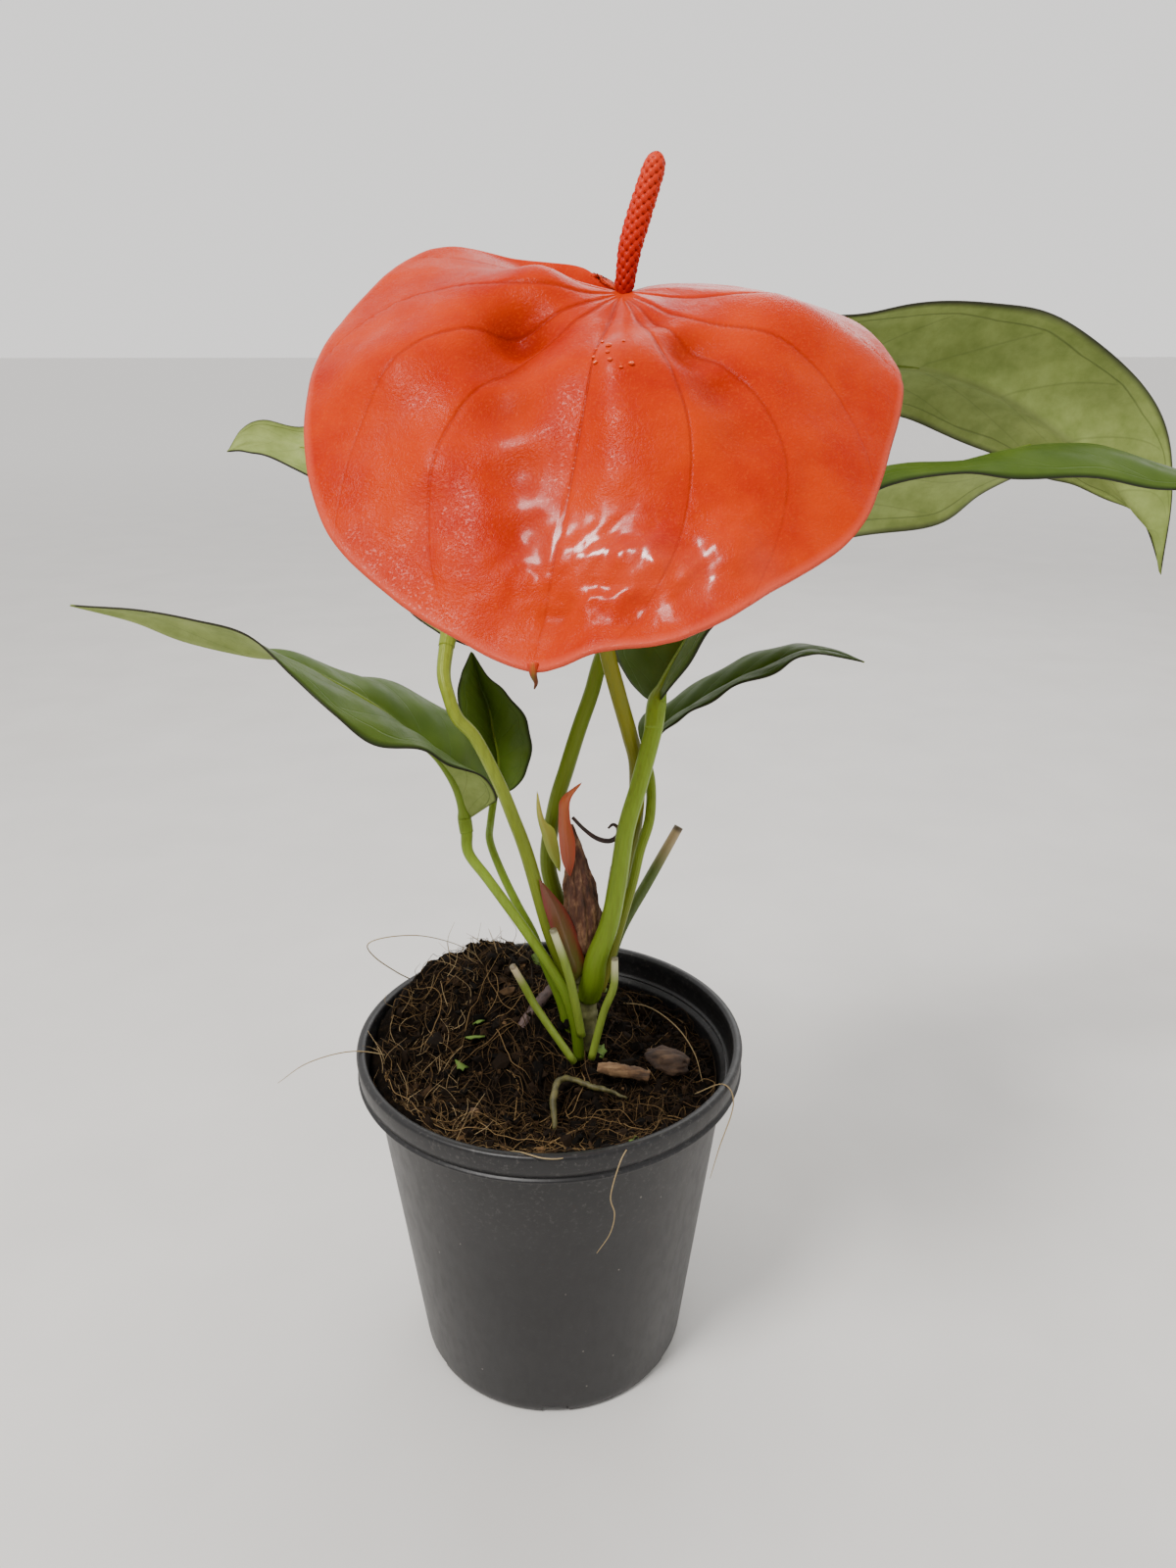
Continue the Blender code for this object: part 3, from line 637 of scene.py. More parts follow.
def wandering(rng, start, length, lift, segments=9, curl=0.5):
    """A thin springy strand that starts on the medium and wanders over it."""
    x, y = start
    heading = rng.uniform(0, math.tau)
    step = length / segments
    bend = rng.normal(0, curl)
    rise = rng.uniform(-0.2, 1.0) * lift
    route = []
    for i in range(segments + 1):
        share = i / segments
        radius = math.hypot(x, y)
        if radius > 43.5:
            x, y = x * 43.5 / radius, y * 43.5 / radius
        hop = rise * math.sin(share * math.pi * rng.uniform(0.8, 1.0))
        route.append((x, y, ground(x, y) + 0.25 + max(hop, -0.2)))
        heading += bend / segments * 3 + rng.normal(0, curl * 0.35)
        x += step * math.cos(heading)
        y += step * math.sin(heading)
    return smooth(route, 2)


def make_fibres():
    """Fine coir fibres, dark rootlets and golden strands that mat the surface."""
    rng = np.random.default_rng(23)
    groups = (
        ("coir_mat", 1300, (4, 15), (0.05, 0.11), 1.8, (0.02, 0.8)),
        ("coir_strands", 200, (12, 30), (0.08, 0.15), 3.5, (0.3, 1.0)),
    )
    look = toned_look("coir_fibre", (0.004, 0.0025, 0.0015), (0.055, 0.030, 0.011), (0.26, 0.165, 0.07), 0.7)
    for name, count, lengths, radii, lift, tone_range in groups:
        parts, tones = [], []
        for start in scattered(rng, count):
            route = wandering(rng, start, rng.uniform(*lengths), lift)
            radius = rng.uniform(*radii)
            at = np.linspace(0, 1, len(route))
            taper = radius * np.interp(at, [0, 0.15, 0.8, 1], [0.5, 1, 0.8, 0.3])
            points, faces, _ = tube_mesh(route, taper, 4)
            parts.append((points, faces))
            golden = 0.35 if start[1] < -20 else 0.0
            tone = rng.uniform(*tone_range) * rng.uniform(0.4, 1.0)
            tones.append(min(tone + golden * rng.uniform(0, 1), 1.0))
        settle(make_toned(name, parts, tones, look), "coir")


def make_bristles():
    """Short stiff fibres that stand up from the heap and along the left rim."""
    rng = np.random.default_rng(31)
    parts, tones = [], []
    for _ in range(190):
        turn = rng.uniform(math.radians(95), math.radians(245))
        reach = rng.uniform(24, 44)
        x, y = reach * math.cos(turn), reach * math.sin(turn)
        length = rng.uniform(3, 10)
        lean = rng.normal(0, 0.7, 2)
        bow = rng.normal(0, 0.15, 2) * length
        foot = np.array([x, y, ground(x, y) - 0.3])
        tip = foot + length * np.array([lean[0], lean[1], 1.0]) / math.sqrt(1 + lean[0] ** 2 + lean[1] ** 2)
        middle = (foot + tip) / 2 + (bow[0], bow[1], 0)
        route = smooth([foot, middle, tip], 4)
        points, faces, _ = tube_mesh(route, np.linspace(0.1, 0.04, len(route)), 4)
        parts.append((points, faces))
        tones.append(rng.uniform(0.3, 1.0))
    look = toned_look("bristle", (0.02, 0.012, 0.006), (0.14, 0.085, 0.035), (0.40, 0.29, 0.15), 0.65)
    settle(make_toned("coir_bristles", parts, tones, look), "coir")


LONG_FIBRES = {
    "coir_fibre_loop": (
        (-39, 24, 96), (-41, 14, 104), (-45, 6, 113), (-46, 2, 119), (-41, 2, 121), (-33, 8, 118),
        (-25, 16, 111), (-20, 22, 104)),
    "coir_fibre_side": ((-40, -2, 88), (-50, -8, 94), (-60, -14, 95), (-67, -18, 92)),
    "coir_fibre_over_rim": ((-12, -38, 85), (-8, -46, 92), (-2, -51, 94), (2, -50, 93), (5, -45, 90)),
    "coir_fibre_hanging": (
        (18, -38, 86), (17, -46, 92), (15, -51, 92), (13, -52, 84), (14, -51, 78), (13, -50.5, 72),
        (10, -50, 66)),
    "coir_fibre_arc": ((18, 27, 85), (27, 20, 88), (34, 10, 88), (38, 0, 86), (39, -10, 84)),
    "coir_fibre_right": ((36, -18, 86), (42, -24, 93), (44, -28, 90), (40, -34, 82), (38, -35, 74)),
}


def make_long_fibres():
    """The few long fibres that stick up from the medium or hang over the rim."""
    look = toned_look("long_fibre", (0.10, 0.07, 0.03), (0.30, 0.22, 0.11), (0.45, 0.34, 0.18), 0.6)
    stands_for = {"coir_fibre_side": "coir_fibre_left", "coir_fibre_over_rim": "coir_fibre_front",
                  "coir_fibre_arc": "coir_fibre_right"}
    for name, points in LONG_FIBRES.items():
        route = smooth(points, 6)
        radii = np.interp(np.linspace(0, 1, len(route)), [0, 0.7, 1], [0.17, 0.14, 0.07])
        shape, faces, _ = tube_mesh(route, radii, 6)
        tone = {"tone": np.full(len(shape), 0.55)}
        made = make_object(f"{name}_strand", shape, faces, values=tone, materials=[look])
        nodes = [stands_for[name]] if name in stands_for else []
        settle(made, "coir", *nodes)


def make_lump(name, centre, size, turn, look, slot, node, roughness=0.18):
    """A rough lump such as a bark chunk or a pebble."""
    ball, faces = ico_template(4)
    cos, sin = math.cos(turn), math.sin(turn)
    points = []
    for p in ball:
        swell = 1 + roughness * fractal(tuple(p), 0.7, 4)
        x, y, z = p * swell * size
        points.append((centre[0] + x * cos - y * sin, centre[1] + x * sin + y * cos, centre[2] + z))
    settle(make_object(name, points, faces, materials=[look]), slot, node)


def make_litter():
    """The stick, chunk, roots, pebble and green scraps that lie on the medium."""
    bark = fibrous_look("bark", (0.016, 0.009, 0.006), (0.05, 0.027, 0.015), (0.12, 0.068, 0.036),
                        1.6, 0.3, 0.85, (0.35, 1, 1))
    stick = fibrous_look("stick_wood", (0.03, 0.015, 0.007), (0.12, 0.062, 0.026), (0.28, 0.17, 0.08),
                         1.2, 0.2, 0.8, (0.15, 1, 1))
    root = fibrous_look("root", (0.022, 0.020, 0.006), (0.07, 0.062, 0.016), (0.15, 0.13, 0.035),
                        1.5, 0.15, 0.6)
    brown = fibrous_look("old_root", (0.03, 0.018, 0.016), (0.075, 0.045, 0.04), (0.14, 0.09, 0.075),
                         1.4, 0.15, 0.7)
    lie = math.radians(-35)
    make_lump("bark_piece", (31, -3, 85.5), (6.4, 4.2, 2.6), lie, bark, "bark", "bark_chunk", 0.25)
    make_lump("small_pebble", (-19, -21, 84), (1.6, 1.4, 1.3), 0, stick, "bark", "pebble", 0.2)
    route = [(12, -10, 89), (16, -10.5, 88.6), (21, -11, 87.8), (25, -11.5, 87)]
    sticks = tube("bark_stick_piece", route, [1.2, 1.7, 1.6, 1.5], stick, 10, 14)
    roughen(sticks, 1.2, 0.35)
    settle(sticks, "bark", "bark_stick")
    route = [(1, -23, 80), (0.5, -18, 85), (2, -14, 88), (6, -13, 87.4), (11, -15, 86.4), (15, -16, 86),
             (19, -18, 85)]
    olive = tube("olive_root_piece", route, [0.6, 0.85, 0.8, 0.7, 0.75, 0.6, 0.35], root, 8, 12)
    roughen(olive, 1.5, 0.3)
    settle(olive, "bark", "olive_root")
    route = [(1, 10, 101), (-3, 8, 97), (-7, 5, 93), (-9, 2, 89)]
    old = tube("brown_root_piece", route, [1.3, 1.5, 1.4, 1.2], brown, 8, 12)
    roughen(old, 1.5, 0.3)
    settle(old, "bark", "brown_root")
    make_scraps()


def roughen(made, scale, depth):
    """Push a mesh's points about, for bark and roots."""
    for vertex in made.data.vertices:
        at = vertex.co / MM
        shifts = ((0, 0, 0), (9, 0, 0), (0, 9, 0))
        push = Vector([fractal(at + Vector(shift), scale) for shift in shifts])
        vertex.co += push * depth * MM


def make_scraps():
    """Ragged green scraps of leaf and moss among the peat."""
    look = leaf_top_look("scrap_leaf", (0.015, 0.05, 0.006), (0.035, 0.10, 0.015))
    rng = np.random.default_rng(5)
    places = [(-20, 2, 5.0), (-23, -4, 3.4), (-19, 6, 3.0), (-3, 27, 4.0), (13, -2, 3.0), (20, -37, 3.6),
              (24, -35, 2.6), (15, 30, 2.4)]
    parts = []
    for x, y, size in places:
        count = 14
        turns = np.linspace(0, math.tau, count, endpoint=False)
        reach = size * (0.35 + 0.3 * rng.random(count))
        lean = rng.normal(0, 0.35, 2)
        rim = np.column_stack([x + reach * np.cos(turns), y + 1.3 * reach * np.sin(turns), np.zeros(count)])
        middle = ground(x, y) + 1.1
        tilted = middle + (rim[:, 0] - x) * lean[0] + (rim[:, 1] - y) * lean[1]
        rim[:, 2] = tilted + rng.normal(0, 0.25, count)
        points = np.vstack([[[x, y, middle + 0.3]], rim])
        faces = [(0, 1 + k, 1 + (k + 1) % count) for k in range(count)]
        parts.append((points, faces))
    points, faces, _ = merge(parts)
    zero = np.zeros(len(points))
    made = make_object("leaf_scraps", points, faces, values={"margin": zero}, materials=[look])
    solid = made.modifiers.new("thickness", "SOLIDIFY")
    solid.thickness = 0.35 * MM
    settle(made, "leaf", "leaf_scrap")


# ---------------------------------------------------------------- stems

STEMS = {
    # name: (radii from foot to top, colour at the foot, colour above, points)
    "petiole_left_long": ((1.5, 1.3, 1.3, 1.3, 1.7), (0.07, 0.13, 0.006), (0.20, 0.30, 0.030), [
        (7.5, -4, 88), (6.5, -4.5, 98), (4, -4, 107), (0, -3, 115), (-5, -2, 123), (-9, -1, 129),
        (-15, 0, 138), (-19.5, 2, 144), (-20, 4.5, 148.5), (-20.5, 5.5, 152)]),
    "petiole_left_small": ((1.4, 1.1, 1.1, 1.0, 1.1), (0.07, 0.13, 0.006), (0.18, 0.28, 0.028), [
        (5, 3, 90), (3, 5, 99), (-1, 7, 109), (-4, 8, 118), (-8, 9, 126), (-12, 12, 134),
        (-15, 18, 140), (-15, 24, 143), (-14, 29.5, 149), (-14, 30.5, 152)]),
    "petiole_left_back": ((2.4, 1.7, 1.45, 1.5, 1.9), (0.09, 0.12, 0.008), (0.235, 0.30, 0.030), [
        (6, 1, 103), (3.5, -0.5, 114), (0, -2, 125), (-5, -4, 146), (-8, -7, 157), (-11, -10, 167),
        (-16, -10, 178), (-20, -10, 183), (-22, -8, 188), (-23, -5, 192), (-22.5, -0.5, 197), (-22, 2, 200)]),
    "petiole_right_upper": ((2.2, 2.0, 1.9, 1.8, 1.8), (0.09, 0.12, 0.010), (0.13, 0.19, 0.012), [
        (6, 6, 104), (3, 8, 124), (0, 9, 138), (2, 9, 153), (5, 8, 164), (8, 8, 174),
        (11, 8, 183), (14, 9, 193), (22, 14, 210), (34, 22, 231), (46, 27, 246), (54, 30, 253)]),
    "petiole_right_lower": ((3.4, 2.9, 2.4, 2.2, 2.1, 2.3), (0.10, 0.16, 0.006), (0.20, 0.31, 0.026), [
        (10, 1, 104), (11, -2, 110), (12, -3, 117), (15, -3, 126), (17, -3, 137), (19, -3, 152),
        (22, -2, 163), (25.5, 1, 176), (26.5, 4, 182)]),
    "petiole_right_small": ((1.6, 1.3, 1.3, 1.2), (0.17, 0.15, 0.02), (0.19, 0.27, 0.025), [
        (13, 3, 104), (16.5, 4, 116), (21, 4, 133), (23, 4, 143), (25.5, 6, 151), (26, 11, 159),
        (24.5, 16, 165)]),
    "peduncle": ((2.2, 2.0, 1.9, 1.8, 1.8), (0.10, 0.12, 0.010), (0.19, 0.18, 0.012), [
        (11, 6, 104), (17, 11, 121), (20, 10, 137), (22, 8, 150), (22, 5, 165), (20, 3, 174),
        (17, 0, 185), (14, -3, 197), (12, -6, 211), (12, -10, 233), (13, -15, 253), (15, -20, 266),
        (16, -22, 271)]),
}


def make_stems():
    """Every petiole and the peduncle, from the lists above."""
    for name, (radii, low, high, points) in STEMS.items():
        look = stem_look(f"{name}_skin", low, high)
        settle(tube(f"{name}_stem", points, radii, look, 8, 24), "stem", name)


STUBS = [
    # radius, cut colour, points
    (1.5, (0.40, 0.30, 0.15), [(15, 14, 100), (19, 17, 113), (27, 20.5, 127), (35, 23.5, 141)]),
    (0.9, (0.35, 0.28, 0.15), [(12, 12, 100), (15, 14, 119), (17, 14, 134)]),
    (1.1, (0.55, 0.55, 0.30), [(8, -6, 96), (6, -7.5, 109), (4, -8, 118), (1, -8.5, 128)]),
    (1.0, (0.50, 0.42, 0.25), [(6, -9, 90), (-3, -8, 105), (-6, -9, 112), (-9, -11, 119.5)]),
    (1.0, (0.55, 0.55, 0.30), [(10.5, -7.5, 90), (13.5, -7, 103), (16, -7.5, 111), (16.3, -7, 119)]),
]


def make_stubs():
    """Cut-off stems, each with a dry pale end."""
    for number, (radius, dry, points) in enumerate(STUBS, 1):
        fresh = (0.21, 0.29, 0.03) if number > 2 else (0.09, 0.14, 0.015)
        look = Look(f"stub_skin_{number}", 0.5)
        along, _ = look.along()
        streaks = look.noise(2.5, 4, vector=look.stretched((2, 2, 0.3)))
        body = look.ramp(streaks, (0.3, tuple(c * 0.75 for c in fresh)), (0.7, fresh))
        dried = look.mix(look.between(along, 0.7, 0.95), body, dry)
        look.colour(look.mix(look.between(along, 0.96, 0.99, 0, 0.75), dried, (0.03, 0.02, 0.012)))
        look.bump((streaks, 0.15))
        radii = [radius, radius, radius, radius * 0.85]
        made = tube(f"cut_stub_{number}_stem", points, radii, look.material, 8, 14)
        settle(made, "stem", f"cut_stub_{number}")


def make_crown():
    """The ringed neck and the swollen nodes that the stems grow from."""
    look = fibrous_look("crown_skin", (0.05, 0.045, 0.02), (0.13, 0.13, 0.04), (0.22, 0.20, 0.09),
                        1.8, 0.15, 0.6, (1, 1, 0.7))
    route = smooth([(9.5, 0.5, 86), (9.6, 0.8, 96), (9.4, 1.6, 103), (8.8, 3.0, 108), (8.4, 3.6, 113)], 14)
    heights = np.linspace(0, 1, len(route))
    rings = 0.28 * np.maximum(np.sin(heights * math.tau * 7), 0) ** 0.5
    radii = np.interp(heights, [0, 0.45, 0.62, 0.85, 1], [2.6, 2.7, 4.2, 5.4, 3.2]) + rings
    points, faces, uv = tube_mesh(route, radii, 32)
    settle(make_object("stem_crown", points, faces, uv, materials=[look]), "stem", "crown")


# ---------------------------------------------------------------- leaf blades

BLADES = {
    # base to tip: the first and last are points, the rows between are one edge, midrib and other edge
    "blade_left_long": [
        (-20, 6, 151),
        [(-14, 4, 156), (-21, 5, 155), (-14, 12, 155)],
        [(-12, 2, 159), (-22, 4, 160), (-13, 16, 158)],
        [(-15, -1, 165), (-24, 3, 165), (-15, 17, 163)],
        [(-22, -7, 171), (-27, 2, 170), (-18, 18, 169)],
        [(-28, -13, 176), (-32, 2, 175), (-25, 20, 176)],
        [(-37, -20, 181), (-40, 0, 183), (-37, 20, 182)],
        [(-46, -20, 187), (-48, -2, 189), (-49, 15, 186)],
        [(-54, -16, 195), (-57, -4, 195), (-59, 6, 194)],
        [(-64, -13, 203), (-66, -6, 197), (-68, 0, 197)],
        [(-75, -13, 207), (-79, -8, 201), (-80, -3, 202)],
        [(-87, -13, 209), (-89, -10, 206), (-90, -7, 206)],
        (-101, -12, 210)],
    "blade_left_small": [
        (-14, 30, 151),
        [(-16, 28, 151), (-13, 32, 153), (-10, 28, 150)],
        [(-18, 26, 156), (-13, 33, 159), (-6, 26, 155)],
        [(-20, 25, 164), (-14, 34, 164), (-4, 26, 162)],
        [(-22, 25, 172), (-15, 35, 171), (-5, 26, 170)],
        [(-22, 27, 180), (-17, 35, 177), (-10, 28, 177)],
        [(-21, 30, 183), (-18, 34, 182), (-15, 31, 181)],
        (-19, 33, 187)],
    "blade_left_back": [
        (-22, 2, 198),
        [(-16, 6, 196), (-23, 6, 200), (-27, 6, 200)],
        [(-18, 20, 204), (-28, 12, 207), (-32, 8, 204)],
        [(-26, 34, 218), (-35, 20, 216), (-36, 12, 209)],
        [(-38, 42, 234), (-43, 28, 227), (-43, 16, 219)],
        [(-49, 44, 243), (-53, 34, 236), (-51, 24, 228)],
        [(-60, 42, 242), (-61, 38, 238), (-59, 30, 233)],
        [(-68, 40, 244), (-67, 37, 239), (-67, 32, 236)],
        [(-73, 37, 242), (-72, 35, 239), (-72, 33, 237)],
        (-76, 33, 237)],
    "blade_right_upper": [
        (54, 30, 253),
        [(51, 28, 261), (59, 33, 254), (54, 38, 247)],
        [(57, 30, 267), (68, 38, 255), (62, 46, 240)],
        [(71, 32, 268), (81, 42, 256), (78, 54, 242)],
        [(88, 34, 270), (98, 46, 255), (96, 58, 243)],
        [(107, 36, 271), (117, 48, 249), (118, 60, 234)],
        [(126, 38, 267), (133, 50, 240), (135, 60, 228)],
        [(144, 41, 257), (148, 51, 230), (146, 58, 224)],
        [(158, 44, 244), (157, 50, 220), (155, 54, 221)],
        [(165, 46, 226), (163, 48, 213), (161, 50, 216)],
        (166, 46, 203)],
    "blade_right_lower": [
        (26.3, 4.4, 181.2),
        [(28, 0, 185), (28, 6, 185), (23, 10, 182)],
        [(32, -4, 193), (31, 8, 190), (20, 16, 185)],
        [(38, -6, 202), (35, 10, 196), (17, 24, 193)],
        [(47, -4, 210), (44, 14, 207), (26, 32, 203)],
        [(61, 0, 220), (60, 18, 221), (52, 38, 211)],
        [(75, 4, 232), (79, 22, 232), (79, 40, 214)],
        [(93, 4, 234), (99, 24, 234), (99, 38, 218)],
        [(107, 4, 234), (116, 22, 239), (112, 37, 226)],
        [(124, 6, 233), (132, 22, 239), (131, 35, 234)],
        [(140, 8, 231), (146, 20, 235), (148, 31, 231)],
        [(157, 12, 229), (161, 20, 230), (163, 27, 228)],
        (175, 20, 223)],
    "blade_right_small": [
        (24.5, 16, 164.5),
        [(23.5, 22, 170), (27, 17, 168), (27, 10, 170)],
        [(26, 26, 172), (30, 18, 171), (31, 9, 175)],
        [(34, 28, 176), (37, 18, 176), (37, 8, 179)],
        [(45, 29, 183), (47, 18, 182), (45, 8, 184)],
        [(56, 28, 188), (57, 18, 187), (56, 9, 188)],
        [(64, 26, 190), (64, 18, 190), (63, 12, 191)],
        [(72, 21, 190), (71, 18, 190), (70, 15, 190)],
        (79, 16, 188)],
}

SIDE_VEINS = 8
VEIN_SWEEP = 2.0
BLADE_ARCH = 0.10  # height of each half as a share of the width
UNDERSIDE_FIRST = ("blade_right_upper", "blade_right_lower")  # rows that run from the other edge
BLADE_COLUMNS = 12  # points from the midrib to one edge


def blade_grid(rows, steps=10):
    """The blade's points as an array of rows by columns, with u along it and v across it."""
    full = [row if isinstance(row, list) else [row] * 3 for row in rows]
    rails = [smooth([row[k] for row in full], steps) for k in range(3)]
    across = np.linspace(-1, 1, 2 * BLADE_COLUMNS + 1)
    share = np.abs(across)[None, :, None]
    left, middle, right = (rail[:, None, :] for rail in rails)
    edge = np.where(across[None, :, None] < 0, left, right)
    grid = middle + (edge - middle) * share
    u = np.repeat(np.linspace(0, 1, len(grid))[:, None], len(across), axis=1)
    v = np.repeat(across[None, :], len(grid), axis=0)
    return grid, u, v


def grid_normals(grid):
    """Unit normals of a grid of points."""
    down = np.gradient(grid, axis=0)
    right = np.gradient(grid, axis=1)
    normal = np.cross(right, down)
    length = np.linalg.norm(normal, axis=2)[:, :, None]
    return normal / np.maximum(length, 1e-6)


def vein_marks(u, v):
    """How strongly each point lies on the midrib, and its place in the run of side veins."""
    reach = np.abs(v)
    phase = u * SIDE_VEINS - reach * VEIN_SWEEP
    rib = np.exp(-((v / 0.05) ** 2)) * (1 - 0.6 * u)
    return rib, phase


def make_blade(name, rows, looks, flip):
    """One leaf blade: two arched halves, quilted between the side veins, with a thin wavy margin."""
    grid, u, v = blade_grid(rows)
    normal = grid_normals(grid) * (-1 if flip else 1)
    reach = np.abs(v)
    rib, phase = vein_marks(u, v)
    width = np.linalg.norm(grid[:, -1] - grid[:, 0], axis=1)[:, None]
    lift = BLADE_ARCH * width * reach * (1 - reach) * 2
    lift += 0.006 * width * (1 - np.cos(phase * math.tau)) * np.sin(math.pi * reach) - 0.018 * width * rib
    lift += 0.02 * width * np.sin(u * 37 + np.sign(v) * 1.3) * reach**4
    points = grid + normal * lift[:, :, None]
    margin = np.clip((reach - 0.965) / 0.02, 0, 1)
    values = {"margin": margin.ravel()}
    made = make_sheet(f"{name}_leaf", points, u, v, flip, values, looks)
    solid = thicken(made, 0.42)
    solid.material_offset = 1
    solid.material_offset_rim = 1
    return settle(made, "leaf", name)


def make_midrib(name, rows):
    """The petiole carried on along the blade as a tapering rib that stands out on both sides."""
    radii, _, colour, stem = STEMS[name.replace("blade", "petiole")]
    middle = [row[1] for row in rows[1:-1]]
    reach = middle[: max(3, int(len(middle) * 0.8))]
    look = stem_look(f"{name}_rib", colour, tuple(c * 0.75 for c in colour))
    points = [stem[-2], stem[-1], *reach]
    widths = [radii[-1], radii[-1], *np.linspace(radii[-1] * 0.62, 0.3, len(reach))]
    settle(tube(f"{name}_midrib", points, widths, look, 10, 16), "leaf")


def make_leaves():
    """All six blades with their midribs, on shared looks."""
    top = leaf_top_look()
    under = leaf_under_look()
    for name, rows in BLADES.items():
        make_blade(name, rows, [top, under], name in UNDERSIDE_FIRST)
        make_midrib(name, rows)


# ---------------------------------------------------------------- spathe and spadix

SPATHE_BASE = np.array((16.0, -22.0, 271.0))
SPATHE_SWELL = np.array((0, -0.6, 0.8))
SPATHE_RIM = [
    # round the rim from one side of the notch to the other: x, y, z, swell, flare
    (14, -20, 272, 0, 0),
    (8, -10, 276, 0, 0),
    (-5, -2, 278, -2, 0),
    (-19, -4, 280, -1, 0),
    (-30, -16, 274, 3, 0),
    (-40, -30, 262, 7, 0),
    (-42, -46, 248, 10, 1),
    (-37, -60, 233, 12, 3),
    (-26, -70, 224, 13, 4),
    (-14, -77, 218, 14, 5),
    (-2, -82, 214, 14, 6),
    (9, -84, 218, 14, 6),
    (22, -85, 220, 14, 6),
    (36, -80, 226, 13, 5),
    (52, -68, 233, 11, 3),
    (61, -52, 244, 9, 1),
    (66, -38, 256, 7, 0),
    (62, -24, 265, 4, 0),
    (48, -12, 271, 2, 0),
    (36, -6, 273, 1, 0),
    (24, -12, 271, 0, 0),
    (17.5, -20, 271, 0, 0),
]
TIP_SPOKE = 10
# Main veins: place round the rim from the tip's spoke, as a + b r + c r squared at r from base to rim
SPATHE_VEINS = [
    (0, 0, 0), (0.65, 7.4, -7.0), (0.85, 9.9, -8.0), (1.6, 9.9, -7.0), (3.5, 8.0, -5.5),
    (-0.3, -8.4, 7.6), (-1.2, -8.8, 7.2), (-2.4, -8.4, 6.2), (-4.0, -7.0, 4.6),
]
SPATHE_GLOSS = [  # wetter, smoother patches: spoke, r, share, width in millimetres
    (9.9, 0.76, 0.5, 4.5), (10.8, 0.80, 0.7, 5.5), (11.6, 0.84, 0.85, 6.0), (12.3, 0.89, 0.85, 5.5),
    (12.9, 0.95, 0.7, 4.5), (9.2, 0.70, 0.16, 4.0), (8.6, 0.62, 0.05, 4.0), (10.9, 0.37, 0.35, 3.5),
]
# Dents and swellings: spoke, r, height, width in millimetres
SPATHE_DENTS = [
    (6.8, 0.36, -6.5, 6.5), (7.3, 0.46, -3.0, 6.0), (8.1, 0.55, -2.2, 6.0), (8.9, 0.66, -1.8, 5.5),
    (9.3, 0.76, -1.4, 5.0), (5.0, 0.30, 2.6, 6.5), (10.4, 0.38, 2.8, 6.5), (10.8, 0.50, 1.2, 7.0),
    (12.8, 0.25, -1.6, 4.0), (13.3, 0.39, -3.0, 5.0), (13.4, 0.53, -2.2, 5.5), (13.4, 0.66, -1.2, 5.5),
    (15.6, 0.55, 2.4, 10.0), (6.2, 0.72, 1.8, 10.0), (7.6, 0.74, 1.2, 6.0), (10.2, 0.78, 1.0, 5.0),
    (11.6, 0.83, 1.8, 5.0), (12.8, 0.88, 1.6, 5.0), (11.4, 0.94, -0.8, 4.0), (10.2, 0.90, -1.0, 3.5),
]


def bell_round(grid, out, spoke, at, reach, width):
    """A bell of the given width round one place on the fan."""
    centre = grid[np.abs(out[:, 0] - reach).argmin(), np.abs(spoke[0] - at).argmin()]
    return np.exp(-((np.linalg.norm(grid - centre, axis=2) / width) ** 2))


